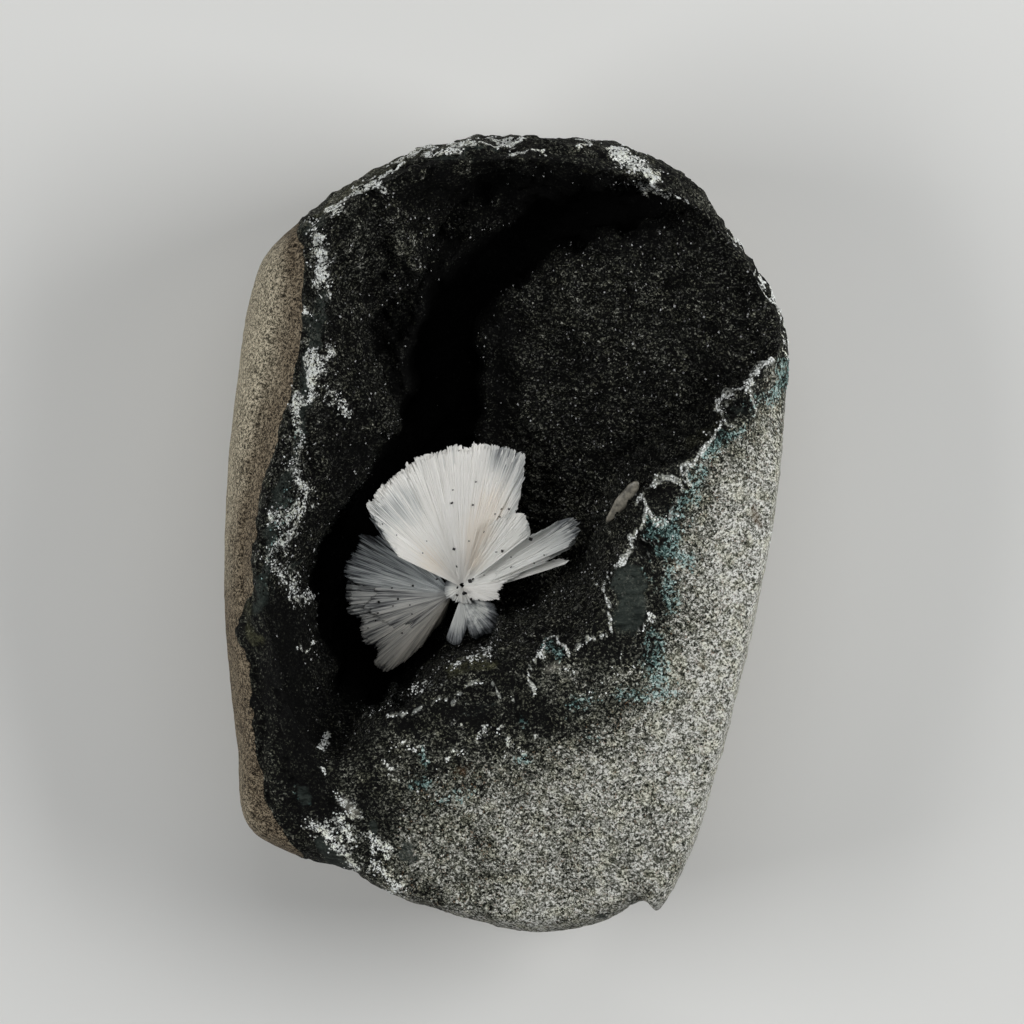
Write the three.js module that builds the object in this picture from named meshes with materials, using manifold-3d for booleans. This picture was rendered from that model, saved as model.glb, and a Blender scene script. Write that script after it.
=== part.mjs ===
// A mineral specimen: a broken basalt cobble lying on its back, with an open hollow (a vug) in its
// front. A dark crust lines the hollow, and sheaves of stilbite blades fan out from a knob inside it.
// Millimetres. +Z points out of the specimen's front, +Y is its top end, +X its right-hand side, and
// z = 0 is the flat that it rests on, with the origin in the middle of its outline.
import * as THREE from "three";
import { mergeVertices } from "three/addons/utils/BufferGeometryUtils.js";
import Module from "manifold-3d";

const wasm = await Module();
wasm.setup();

// Heights and slopes that each stretch of the edge has. widest is the height of the outline, shoulder
// the share of the way from lip to outline where the front face turns over into the side, drop the
// fall from lip to shoulder, slope the fall per millimetre of the hollow's wall, and shelf the width
// of that wall before it breaks off into a cliff.
const STRETCHES = {
  brownSide: { widest: 17.5, shoulder: 0.4, drop: 4.5, slope: 0.8, shelf: 13 },
  brownFoot: { widest: 18, shoulder: 0.45, drop: 4, slope: 1.3, shelf: 6 },
  topRim: { widest: 22, shoulder: 0.4, drop: 2.5, slope: 2.2, shelf: 1.5 },
  topLeft: { widest: 21, shoulder: 0.4, drop: 3, slope: 0.95, shelf: 12 },
  thinRim: { widest: 21.5, shoulder: 0.5, drop: 1.5, slope: 0.45, shelf: 9 },
  paleTop: { widest: 26, shoulder: 0.92, drop: 5, slope: 1.7, shelf: 6 },
  paleRight: { widest: 27, shoulder: 0.94, drop: 6, slope: 2, shelf: 3 },
  paleShelf: { widest: 26.5, shoulder: 0.94, drop: 6.5, slope: 1.6, shelf: 5 },
  paleFoot: { widest: 24, shoulder: 0.94, drop: 7.5, slope: 1.4, shelf: 0.8 },
  gully: { widest: 22, shoulder: 0.85, drop: 7, slope: 1.6, shelf: 10 },
};

// Stations round the edge, clockwise from the top left: outline x and y, then the lip of the hollow
// as x, y and height, then the stretch that the station belongs to.
const STATIONS = [
  [-26.8, 38.1, -24.0, 37.1, 36, "topLeft"],
  [-19.9, 43.4, -19.0, 41.3, 35.5, "topLeft"],
  [-12.4, 47.3, -12.4, 44.9, 35, "topLeft"],
  [-4.3, 49.3, -4.3, 46.4, 34.5, "topRim"],
  [4.5, 49.6, 4.5, 46.5, 34, "topRim"],
  [12.6, 49.0, 12.4, 45.4, 33, "topRim"],
  [19.9, 46.5, 18.9, 43.4, 32, "topRim"],
  [24.9, 42.4, 23.8, 41.0, 30, "topRim"],
  [28.3, 37.4, 27.5, 36.9, 28, "thinRim"],
  [33.0, 30.9, 32.1, 30.6, 27.5, "thinRim"],
  [35.1, 23.1, 34.2, 23.8, 28.5, "thinRim"],
  [34.9, 14.4, 31.0, 19.1, 33, "paleTop"],
  [34.1, 5.9, 25.1, 11.9, 37.5, "paleTop"],
  [32.8, -2.6, 18.5, 6.9, 39.5, "paleRight"],
  [30.9, -11.9, 15.8, 0.6, 39.5, "paleRight"],
  [28.8, -20.6, 13.5, -5.6, 39.5, "paleRight"],
  [26.3, -30.0, 10.8, -11.3, 39, "paleShelf"],
  [23.5, -38.8, 7.0, -14.4, 38.5, "paleShelf"],
  [19.5, -46.4, 3.0, -15.6, 38, "paleShelf"],
  [11.6, -48.5, -1.1, -15.9, 37.5, "paleFoot"],
  [3.3, -49.5, -5.3, -17.1, 37, "paleFoot"],
  [-4.9, -47.8, -9.9, -19.6, 37, "paleFoot"],
  [-12.8, -45.4, -13.6, -22.5, 37, "paleFoot"],
  [-19.9, -41.6, -16.7, -24.6, 36, "gully"],
  [-27.0, -39.6, -20.0, -28.0, 34.5, "gully"],
  [-32.4, -35.6, -24.0, -26.2, 34, "gully"],
  [-33.4, -26.9, -27.0, -20.4, 35, "brownFoot"],
  [-34.4, -17.5, -28.0, -15.9, 36, "brownFoot"],
  [-35.0, -8.8, -30.0, -9.6, 37, "brownFoot"],
  [-35.0, 0.6, -30.8, -3.1, 37.5, "brownSide"],
  [-34.5, 10.0, -29.6, 4.4, 38, "brownSide"],
  [-33.5, 18.8, -28.0, 11.9, 38, "brownSide"],
  [-32.3, 27.5, -25.9, 20.0, 37.5, "brownSide"],
  [-30.3, 34.1, -24.8, 28.8, 37, "topLeft"],
].map(([outlineX, outlineY, lipX, lipY, lipZ, stretch]) => [
  outlineX, outlineY, lipX, lipY, lipZ, ...Object.values(STRETCHES[stretch]),
]);

// The deep trench in the hollow's floor: x, y, half width and floor height along its line.
const TRENCH = [
  [23.3, 41.3, 1.5, 20],
  [17.0, 41.3, 2.6, 15],
  [10.8, 40.4, 3.2, 12],
  [5.1, 38.6, 3.2, 10],
  [1.0, 35.4, 3.2, 9],
  [-5.8, 28.8, 3.4, 8],
  [-7.8, 23.1, 3.9, 7],
  [-7.6, 17.5, 4.3, 7],
  [-8.3, 11.9, 5.3, 7],
  [-10.5, 4.4, 7.3, 7],
  [-13.0, -4.4, 6.3, 7],
  [-16.5, -13.1, 4.2, 8],
  [-17.8, -18.1, 3.0, 10],
];
const TRENCH_WALL = 2.2;

// Lumps of each surface: height is how far they stand up and wavelength how far apart they are.
const COARSE_LUMPS = { height: 0.7, wavelength: 9 };
const SMALL_LUMPS = { height: 0.4, wavelength: 4.7 };
const FACE_LUMPS = { height: 0.35, wavelength: 13 };
const FLANK_LUMPS = { share: 0.012, wavelength: 17 };

// The hollow's rings start from this point, which looks straight at every part of the lip.
const HOLLOW_CENTRE = new THREE.Vector2(-8, 11.9);
const CLIFF = 6;
const BLEND = 1.5;
const CALM_RIM = 2;

// The broad mound that fills the right of the hollow is a gently tilted plane.
const MOUND = { x: -1.5, y: 10, height: 18.4, perX: 0.225, perY: 0.05 };
const LEDGE_SPACING = 6.5;
const LEDGE_HEIGHT = 1.1;

// The stilbite stands on a knob at the trench's edge.
const KNOB = { x: -3.2, y: -8.2, height: 20.6, slope: 0.9 };

// A blade's root half-width and corners as shares of its width and length, how much wider it is than
// its share of the fan, how its length and point vary along the fan, and the size of the fan's root.
const BLADE_ROOT = 0.22;
const BLADE_SHORT_CORNER = 0.93;
const BLADE_LONG_CORNER = 0.95;
const BLADE_OVERLAP = 1.5;
const LENGTH_WAVE = 0.025;
const LENGTH_STEP = 0.02;
const TIP_LEAN = 0.3;
const HUB_SHARE = 0.8;

// The crust is a skin of even thickness, a gap over the rock. It ends at a share of the way to the
// lip. STEEPEST limits how far it is lowered on a cliff, and RING_PROBE is the step that the
// surface's slope is measured over.
const CRUST_THICKNESS = 1.1;
const CRUST_GAP = 0.5;
const CRUST_EDGE = 0.975;
const STEEPEST = 0.3;
const RING_PROBE = 0.04;

// The resting flat's outline as a share of the widest one, and the number of columns and rings.
const BASE_SHARE = 0.7;
const COLUMNS = 68;
const HOLLOW_RINGS = 11;
const FACE_SHARES = [0, 0.22, 0.45, 0.7, 0.88, 0.95, 1];
const FLANK_RINGS = 5;

const smoothstep = (low, high, x) => THREE.MathUtils.smoothstep(x, low, high);

// The larger of two heights, rounded off where they are within BLEND of each other.
function smoothMax(a, b) {
  const h = Math.max(BLEND - Math.abs(a - b), 0) / BLEND;
  return Math.max(a, b) + (h * h * BLEND) / 4;
}

// Low rounded lumps about one wavelength across, from -1 to 1.
function lumps(x, y, z, wavelength) {
  const k = (2 * Math.PI) / wavelength;
  const first = Math.sin(k * (x + 0.35 * y + 0.5 * z) + 1.3);
  const second = Math.sin(k * (0.9 * y - 0.4 * x + 0.6 * z) + 4.1);
  const third = Math.sin(k * 0.73 * (x - 1.2 * y - 0.8 * z) + 2.2);
  return (first + second + third) / 3;
}

// Bedded ledges, each a slow rise and a quick fall across the beds, from 0 to 1.
function ledges(x, y) {
  const across = (y + 0.3 * x + 1.2 * Math.sin(0.22 * x + 0.4)) / LEDGE_SPACING;
  const t = across - Math.floor(across);
  return smoothstep(0, 0.75, t) - smoothstep(0.8, 1, t);
}

// All the values of the stations at a share u of the way round, on a closed Catmull-Rom curve.
function stationAt(u) {
  const count = STATIONS.length;
  const place = ((u % 1) + 1) % 1 * count;
  const i = Math.floor(place);
  const t = place - i;
  const [a, b, c, d] = [-1, 0, 1, 2].map((k) => STATIONS[(i + k + count) % count]);
  const value = b.map((_, n) => {
    const straight = 0.5 * (c[n] - a[n]) * t;
    const bend = (a[n] - 2.5 * b[n] + 2 * c[n] - 0.5 * d[n]) * t * t;
    const twist = (1.5 * (b[n] - c[n]) + 0.5 * (d[n] - a[n])) * t * t * t;
    return b[n] + straight + bend + twist;
  });
  const [outlineX, outlineY, lipX, lipY, lipZ, widest, shoulder, drop, slope, shelf] = value;
  return {
    outline: new THREE.Vector2(outlineX, outlineY),
    lip: new THREE.Vector2(lipX, lipY),
    lipZ, widest, shoulder, drop, slope, shelf,
  };
}

// How far a point lies inside the trench, and the trench's floor height there.
function trenchAt(x, y) {
  let best = { inside: -Infinity, floor: 0 };
  for (let i = 0; i + 1 < TRENCH.length; i += 1) {
    const [ax, ay, ar, af] = TRENCH[i];
    const [bx, by, br, bf] = TRENCH[i + 1];
    const length2 = (bx - ax) ** 2 + (by - ay) ** 2;
    const along = ((x - ax) * (bx - ax) + (y - ay) * (by - ay)) / length2;
    const t = THREE.MathUtils.clamp(along, 0, 1);
    const away = Math.hypot(x - ax - t * (bx - ax), y - ay - t * (by - ay));
    const inside = ar + t * (br - ar) - away;
    if (inside > best.inside) best = { inside, floor: af + t * (bf - af) };
  }
  return best;
}

// Height of the hollow's surface. s runs from 0 at its centre to 1 at the lip.
function hollowPoint(station, s) {
  const { lip, lipZ, slope, shelf } = station;
  const at = HOLLOW_CENTRE.clone().lerp(lip, s);
  const inward = at.distanceTo(lip);
  const wall = lipZ - slope * Math.min(inward, shelf) - CLIFF * Math.max(inward - shelf, 0);
  const mound = MOUND.height + MOUND.perX * (at.x - MOUND.x) + MOUND.perY * (at.y - MOUND.y);
  const fromKnob = Math.hypot(at.x - KNOB.x, at.y - KNOB.y);
  const knob = KNOB.height - KNOB.slope * fromKnob;
  const bedded = mound + LEDGE_HEIGHT * ledges(at.x, at.y);
  const upper = smoothMax(smoothMax(wall, bedded), knob);
  const { inside, floor } = trenchAt(at.x, at.y);
  const depth = smoothstep(-TRENCH_WALL / 2, TRENCH_WALL / 2, inside);
  const coarse = COARSE_LUMPS.height * lumps(at.x, at.y, 0, COARSE_LUMPS.wavelength);
  const small = SMALL_LUMPS.height * lumps(at.x, at.y, 0, SMALL_LUMPS.wavelength);
  const rough = (coarse + small) * smoothstep(0, CALM_RIM, inward);
  const z = Math.min(upper + (floor - upper) * depth + rough, lipZ);
  return new THREE.Vector3(at.x, at.y, z);
}

// The front face, from the lip at t = 0 to the widest outline at t = 1: a slope down to the shoulder,
// then a quarter ellipse that turns over into the side.
function facePoint(station, t) {
  const { lip, outline, lipZ, widest, shoulder, drop } = station;
  const at = lip.clone().lerp(outline, t);
  const shoulderZ = lipZ - drop;
  const over = Math.max(t - shoulder, 0) / (1 - shoulder);
  const sloped = lipZ - drop * Math.min(t / shoulder, 1);
  const turned = (shoulderZ - widest) * (1 - Math.sqrt(Math.max(1 - over * over, 0)));
  const lump = FACE_LUMPS.height * lumps(at.x, at.y, sloped, FACE_LUMPS.wavelength);
  const rough = lump * Math.sin(Math.PI * t);
  return new THREE.Vector3(at.x, at.y, sloped - turned + rough);
}

// The side and back, from the outline at t = 0 to the edge of the resting flat at t = 1: a quarter
// ellipse in each upright plane.
function flankPoint(station, t) {
  const { outline, widest } = station;
  const angle = (t * Math.PI) / 2;
  const share = BASE_SHARE + (1 - BASE_SHARE) * Math.cos(angle);
  const z = widest * (1 - Math.sin(angle));
  const lump = FLANK_LUMPS.share * lumps(outline.x, outline.y, z, FLANK_LUMPS.wavelength);
  const bulge = 1 + lump * Math.sin(Math.PI * t);
  return new THREE.Vector3(outline.x * share * bulge, outline.y * share * bulge, z);
}

const range = (count) => Array.from({ length: count }, (_, i) => i);
const around = range(COLUMNS).map((i) => stationAt(i / COLUMNS));

// The closed ring of the hollow's surface at a share s of the way to the lip, sunk under it by a
// depth measured square to the surface.
function hollowRing(s, depth) {
  const inner = around.map((station) => hollowPoint(station, s - RING_PROBE));
  const ring = around.map((station) => hollowPoint(station, s));
  return ring.map((p, i) => {
    const next = ring[(i + 1) % COLUMNS];
    const before = ring[(i + COLUMNS - 1) % COLUMNS];
    const across = p.clone().sub(inner[i]);
    const facing = across.cross(next.clone().sub(before)).normalize();
    const flatness = Math.max(Math.abs(facing.z), STEEPEST);
    return new THREE.Vector3(p.x, p.y, p.z - depth / flatness);
  });
}

// A closed surface through rings of equal length, which starts and ends in a point. From the ring
// mirroredFrom on, each quad is cut along its other diagonal.
function loft(start, rings, end, mirroredFrom = Infinity) {
  const count = rings[0].length;
  const points = [start, ...rings.flat(), end];
  const index = [];
  const at = (ring, i) => 1 + ring * count + (i % count);
  range(count).forEach((i) => index.push(0, at(0, i + 1), at(0, i)));
  for (let ring = 0; ring + 1 < rings.length; ring += 1) {
    range(count).forEach((i) => {
      const [a, b, c, d] = [at(ring, i), at(ring, i + 1), at(ring + 1, i + 1), at(ring + 1, i)];
      if (ring < mirroredFrom) index.push(a, c, d, a, b, c);
      else index.push(a, b, d, b, c, d);
    });
  }
  const last = rings.length - 1;
  range(count).forEach((i) => index.push(at(last, i), at(last, i + 1), points.length - 1));
  const geometry = new THREE.BufferGeometry().setFromPoints(points);
  geometry.setIndex(index);
  return geometry;
}

const hollowShares = range(HOLLOW_RINGS).map((i) => ((i + 1) / HOLLOW_RINGS) * CRUST_EDGE);
const hollowFloor = (lowered) => {
  const p = hollowPoint(around[0], 0);
  return new THREE.Vector3(p.x, p.y, p.z - lowered);
};

function basaltMatrix() {
  const buried = CRUST_THICKNESS + CRUST_GAP;
  const hollow = hollowShares.map((s) => hollowRing(s, buried));
  const ledge = hollowRing((1 + CRUST_EDGE) / 2, buried);
  const face = FACE_SHARES.map((t) => around.map((station) => facePoint(station, t)));
  const flank = range(FLANK_RINGS).map((i) =>
    around.map((station) => flankPoint(station, (i + 1) / FLANK_RINGS)));
  const rings = [...hollow, ledge, ...face, ...flank];
  return loft(hollowFloor(buried), rings, new THREE.Vector3(0, 0, 0));
}

function vugLining() {
  const top = hollowShares.map((s) => hollowRing(s, 0));
  const underside = hollowShares.map((s) => hollowRing(s, CRUST_THICKNESS)).reverse();
  const rings = [...top, ...underside];
  const crust = solidOf(loft(hollowFloor(0), rings, hollowFloor(CRUST_THICKNESS), HOLLOW_RINGS));
  const radii = new THREE.Vector3(DOME_RADIUS, DOME_RADIUS, DOME_RADIUS);
  return DOMES.reduce((whole, { x, y }) => {
    const hit = new THREE.Vector3(x, y, crustHeight(x, y) + DOME_LIFT);
    return whole.add(roundLump(hit, radii));
  }, crust);
}

// The height of the hollow's surface over a place, found on the nearest column and share.
function crustHeight(x, y) {
  const away = new THREE.Vector2(x, y).sub(HOLLOW_CENTRE);
  const turn = (v) => Math.abs(v.cross(away)) - Math.min(v.dot(away), 0);
  const reach = around.map((station) => station.lip.clone().sub(HOLLOW_CENTRE));
  const nearest = range(COLUMNS).reduce((best, i) => {
    const better = turn(reach[i].clone().normalize()) < turn(reach[best].clone().normalize());
    return better ? i : best;
  }, 0);
  return hollowPoint(around[nearest], away.length() / reach[nearest].length()).z;
}

// A three.js geometry as a manifold-3d solid, with its shared vertices merged.
function solidOf(geometry) {
  const bare = geometry.clone();
  bare.deleteAttribute("normal");
  bare.deleteAttribute("uv");
  const merged = mergeVertices(bare, 1e-4);
  return new wasm.Manifold(new wasm.Mesh({
    numProp: 3,
    vertProperties: new Float32Array(merged.attributes.position.array),
    triVerts: new Uint32Array(merged.index.array),
  }));
}

function geometryOf(solid) {
  const mesh = solid.getMesh();
  return new THREE.BufferGeometry()
    .setAttribute("position", new THREE.BufferAttribute(mesh.vertProperties, 3))
    .setIndex(new THREE.BufferAttribute(mesh.triVerts, 1));
}

// One blade: a flat plate that widens from the hub and ends in a blunt chisel point. It lies along
// +X from the origin, with its thickness along Z. lean sets how far to one side the point is.
function blade(length, width, thickness, lean) {
  const outline = new THREE.Shape([
    new THREE.Vector2(0, -BLADE_ROOT * width),
    new THREE.Vector2(BLADE_SHORT_CORNER * length, -width / 2),
    new THREE.Vector2(length, lean * width),
    new THREE.Vector2(BLADE_LONG_CORNER * length, width / 2),
    new THREE.Vector2(0, BLADE_ROOT * width),
  ]);
  const plate = new THREE.ExtrudeGeometry(outline, { depth: thickness, bevelEnabled: false });
  return plate.translate(0, 0, -thickness / 2);
}

// A sheaf of blades that spread like a fan from its start point. Angles are in degrees from +X,
// reach is the blades' length at each end of the fan and in its middle, and rise is how far the
// tips stand above the hub. Every second blade lies a little higher, and lengths vary with them.
function sheaf({ start, from, to, count, reach, rise, thickness, step }) {
  const spread = THREE.MathUtils.degToRad(to - from) / (count - 1);
  const [first, middle, last] = reach;
  const blades = range(count).map((i) => {
    const t = i / (count - 1);
    const bow = 4 * t * (1 - t);
    const even = first + (last - first) * t + (middle - (first + last) / 2) * bow;
    const length = even * (1 + LENGTH_WAVE * Math.sin(2.4 * i) - LENGTH_STEP * (i % 3));
    const lean = TIP_LEAN * Math.sin(1.7 * i);
    const plate = blade(length, BLADE_OVERLAP * spread * length, thickness, lean);
    const tilt = rise[0] + (rise[1] - rise[0]) * t;
    plate.rotateY(-Math.atan2(tilt, length));
    plate.rotateZ(THREE.MathUtils.degToRad(from) + spread * i);
    plate.translate(start.x, start.y, start.z + step * ((i % 2) - 0.5));
    return solidOf(plate);
  });
  const hub = new THREE.SphereGeometry(HUB_SHARE * thickness, 10, 6);
  hub.translate(start.x, start.y, start.z);
  return blades.reduce((whole, piece) => whole.add(piece), solidOf(hub));
}

// The sheaves grow from one place on the knob, and only the grey one starts beside it.
const HUB = new THREE.Vector3(-5.3, -6.4, 22.9);
const MAIN_FAN = {
  start: HUB, from: 66, to: 139, count: 17,
  reach: [19.0, 17.8, 16.2], rise: [2.6, 5.2], thickness: 1.3, step: 0.5,
};
const MAIN_FAN_RIBS = {
  start: HUB, from: 73, to: 134, count: 5,
  reach: [14.6, 15.0, 13.4], rise: [3.2, 5.4], thickness: 1.3, step: 0.3,
};
const SIDE_FAN = {
  start: HUB, from: 32, to: 60, count: 5,
  reach: [9.6, 11.2, 11.4], rise: [2.2, 2.4], thickness: 1.2, step: 0.4,
};
const UPPER_SPRAY = {
  start: HUB, from: 23, to: 34, count: 4,
  reach: [14.6, 16.8, 15.4], rise: [4.6, 4.8], thickness: 1.3, step: 0.6,
};
const LOWER_SPRAY = {
  start: HUB, from: 8, to: 18, count: 3,
  reach: [8.6, 12.0, 14.0], rise: [3.0, 3.8], thickness: 1.1, step: 0.4,
};
const FOOT_FAN = {
  start: HUB, from: 248, to: 296, count: 6,
  reach: [6.8, 5.0, 6.6], rise: [-0.2, 0.2], thickness: 0.9, step: 0.3,
};
const GREY_FAN = {
  start: new THREE.Vector3(-7.5, -7.9, 22.0), from: 145, to: 226, count: 14,
  reach: [13.4, 12.7, 12.6], rise: [-1.4, -3.2], thickness: 1.0, step: 0.4,
};

// A pit is a rounded bite out of the face round the hollow, and a dome a rounded lump on the crust.
const PIT = new THREE.Vector3(2.2, 1.5, 1.3);
const PITS = [
  new THREE.Vector3(29.4, 15.9, 33.6),
  new THREE.Vector3(19.2, 4.3, 39.9),
  new THREE.Vector3(-10.9, -23.9, 37.2),
];
const DOME_RADIUS = 1.3;
const DOME_LIFT = 0.4;
const DOMES = [
  new THREE.Vector2(-12.6, 36.6),
  new THREE.Vector2(-18.6, 34.2),
  new THREE.Vector2(-4.2, 32.1),
];

function roundLump(centre, radii) {
  const ball = new THREE.SphereGeometry(1, 10, 7);
  return solidOf(ball.scale(radii.x, radii.y, radii.z).translate(centre.x, centre.y, centre.z));
}

function mesh(name, geometry, color, roughness) {
  const material = new THREE.MeshStandardMaterial({ color, roughness, metalness: 0 });
  const made = new THREE.Mesh(geometry, material);
  made.name = name;
  return made;
}

const specimen = new THREE.Group();
const rock = PITS.reduce((whole, at) => whole.subtract(roundLump(at, PIT)), solidOf(basaltMatrix()));
specimen.add(mesh("basalt_matrix", geometryOf(rock), 0x8c8b80, 0.9));
specimen.add(mesh("vug_lining", geometryOf(vugLining()), 0x1c1e1b, 0.75));
const white = [MAIN_FAN, MAIN_FAN_RIBS, SIDE_FAN, UPPER_SPRAY, LOWER_SPRAY, FOOT_FAN].map(sheaf);
const whiteSheaf = white.reduce((whole, fan) => whole.add(fan));
specimen.add(mesh("stilbite_white_sheaf", geometryOf(whiteSheaf), 0xd9d6cd, 0.45));
specimen.add(mesh("stilbite_grey_sheaf", geometryOf(sheaf(GREY_FAN)), 0x8d8b85, 0.45));

export default specimen;
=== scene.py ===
"""A stilbite specimen on its back: a broken basalt cobble with an open hollow, a dark crust in the
hollow, and white and grey stilbite that fans out from a knob in it.

Shapes are worked out in millimetres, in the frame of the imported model, and go into the meshes in
metres. x and y lie in the plane of the photograph, and z comes out of it.
"""

import math
from dataclasses import dataclass

import bpy
import numpy as np
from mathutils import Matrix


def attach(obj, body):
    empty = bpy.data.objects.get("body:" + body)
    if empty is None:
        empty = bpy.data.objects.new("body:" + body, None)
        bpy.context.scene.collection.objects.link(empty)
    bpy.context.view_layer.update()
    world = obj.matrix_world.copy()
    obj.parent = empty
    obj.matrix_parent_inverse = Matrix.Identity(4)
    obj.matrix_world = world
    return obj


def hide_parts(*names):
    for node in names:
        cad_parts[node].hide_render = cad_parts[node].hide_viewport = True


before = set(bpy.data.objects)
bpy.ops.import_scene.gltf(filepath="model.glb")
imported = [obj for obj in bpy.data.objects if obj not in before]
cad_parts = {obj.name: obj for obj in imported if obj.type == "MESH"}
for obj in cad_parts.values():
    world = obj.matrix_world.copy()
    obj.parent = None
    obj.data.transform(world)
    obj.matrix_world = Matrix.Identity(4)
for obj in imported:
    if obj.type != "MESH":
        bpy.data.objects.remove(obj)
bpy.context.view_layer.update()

MM = 0.001
PIXELS_PER_MM = 8.0
PIXEL_ORIGIN = np.array([504.5, 535.0])


def from_photo(*pixels):
    """Places in the photograph, in its pixels, as x and y in millimetres."""
    flat = np.array(pixels, float).reshape(-1, 2)
    return (flat - PIXEL_ORIGIN) * [1, -1] / PIXELS_PER_MM


# Arrays of numbers: blends, lumps, noise and distances


def smoothstep(low, high, x):
    """Rises from 0 at low to 1 at high, level at both ends."""
    t = np.clip((x - low) / (high - low), 0, 1)
    return t * t * (3 - 2 * t)


def smooth_max(a, b, blend):
    """The larger of two arrays, rounded off where they are within blend of each other."""
    h = np.maximum(blend - np.abs(a - b), 0) / blend
    return np.maximum(a, b) + h * h * blend / 4


def lumps(x, y, z, wavelength):
    """Low rounded lumps about one wavelength across, from -1 to 1: the mean of three sine waves."""
    k = 2 * np.pi / wavelength
    first = np.sin(k * (x + 0.35 * y + 0.5 * z) + 1.3)
    second = np.sin(k * (0.9 * y - 0.4 * x + 0.6 * z) + 4.1)
    third = np.sin(k * 0.73 * (x - 1.2 * y - 0.8 * z) + 2.2)
    return (first + second + third) / 3


def scrambled(cells, seed):
    """A number from 0 to 1 for each whole-number cell, by mixing the bits of its coordinates."""
    a, b, c = (cells[..., i].astype(np.uint32) for i in range(3))
    h = a * np.uint32(73856093) ^ b * np.uint32(19349663) ^ c * np.uint32(83492791)
    h ^= np.uint32(seed * 2654435761 % 2**32)
    for shift in (15, 13, 16):
        h ^= h >> np.uint32(shift)
        h *= np.uint32(2246822519)
    return (h >> np.uint32(8)) / float(2**24)


def noise(points, size, seed):
    """Smooth noise from -1 to 1: a random value at each corner of cubic cells of that size, blended
    over the cell by a fifth-degree step."""
    place = points / size
    cell = np.floor(place).astype(np.int64)
    t = place - cell
    t = t**3 * (t * (6 * t - 15) + 10)
    total = np.zeros(points.shape[:-1])
    for corner in np.ndindex(2, 2, 2):
        side = np.array(corner)
        weight = np.where(side == 1, t, 1 - t).prod(-1)
        total += weight * scrambled(cell + side, seed)
    return 2 * total - 1


def layered(points, size, octaves, seed):
    """Noise summed over octaves, each half the size and half the height of the one before."""
    total = np.zeros(points.shape[:-1])
    for k in range(octaves):
        total += noise(points, size / 2**k, seed + k) / 2**k
    return total / (2 - 0.5 ** (octaves - 1))


def ridged(points, size, octaves, seed):
    """Sharp crests from 0 to 1, where noise passes through zero."""
    return (1 - np.abs(layered(points, size, octaves, seed)) * 2).clip(0, 1)


def cells_of(points, size, seed):
    """Distance to the nearest of one random point in each cubic cell, as a share of the cell's size,
    and that point's own random number."""
    place = points / size
    cell = np.floor(place).astype(np.int64)
    nearest = np.full(points.shape[:-1], 9.0)
    owner = np.zeros(points.shape[:-1])
    for step in np.ndindex(3, 3, 3):
        other = cell + np.array(step) - 1
        jitter = np.stack([scrambled(other, seed + k) for k in range(3)], -1)
        away = np.linalg.norm(other + jitter - place, axis=-1)
        closer = away < nearest
        nearest = np.where(closer, away, nearest)
        owner = np.where(closer, scrambled(other, seed + 3), owner)
    return nearest, owner


def along_path(x, y, path):
    """Distance in plan to a bent line, which side of it a point is on (positive on the left), and
    how far along it the nearest place is, in segments."""
    best = np.full(x.shape, 1e9)
    side = np.ones(x.shape)
    place = np.zeros(x.shape)
    for i, (a, b) in enumerate(zip(path[:-1], path[1:])):
        d = b - a
        t = ((x - a[0]) * d[0] + (y - a[1]) * d[1]) / (d @ d)
        held = t.clip(0, 1)
        away = np.hypot(x - a[0] - held * d[0], y - a[1] - held * d[1])
        closer = away < best
        best = np.where(closer, away, best)
        turn = d[0] * (y - a[1]) - d[1] * (x - a[0])
        side = np.where(closer, np.sign(turn), side)
        place = np.where(closer, i + held, place)
    return best, side, place


def patches(x, y, spots):
    """1 at the middle of each round patch (x, y, radius), falling to 0 at its edge; the largest."""
    total = np.zeros(x.shape)
    for px, py, radius in spots:
        total = np.maximum(total, 1 - smoothstep(0.3, 1.15, np.hypot(x - px, y - py) / radius))
    return total


def rings_round(x, y, ovals):
    """For ovals (x, y, half length, half width, turn in degrees): the depth of their hollows, and
    the strength of the rims round them."""
    hollow = np.zeros(x.shape)
    rim = np.zeros(x.shape)
    for px, py, length, width, turn in ovals:
        c, s = math.cos(math.radians(turn)), math.sin(math.radians(turn))
        u = ((x - px) * c + (y - py) * s) / length
        v = ((y - py) * c - (x - px) * s) / width
        out = np.hypot(u, v)
        hollow = np.maximum(hollow, 1 - smoothstep(0.35, 1.0, out))
        rim = np.maximum(rim, np.exp(-(((out - 1.05) / 0.13) ** 2)))
    return hollow, rim


# The edge of the stone

# Each stretch: height of the widest outline, share of the way there where the face turns over, fall
# from the lip to that shoulder, fall per millimetre of the hollow's wall, and that wall's width.
STRETCHES = {
    "brown_side": (17.5, 0.4, 4.5, 0.8, 13),
    "brown_foot": (18, 0.45, 4, 1.3, 6),
    "top_rim": (22, 0.4, 2.5, 2.2, 1.5),
    "top_left": (21, 0.4, 3, 0.95, 12),
    "thin_rim": (21.5, 0.5, 1.5, 0.45, 9),
    "pale_top": (26, 0.92, 5, 1.7, 6),
    "pale_right": (27, 0.94, 6, 2, 3),
    "pale_shelf": (26.5, 0.94, 6.5, 1.6, 5),
    "pale_foot": (24, 0.94, 7.5, 1.4, 0.8),
    "gully": (22, 0.85, 7, 1.6, 10),
}

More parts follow.
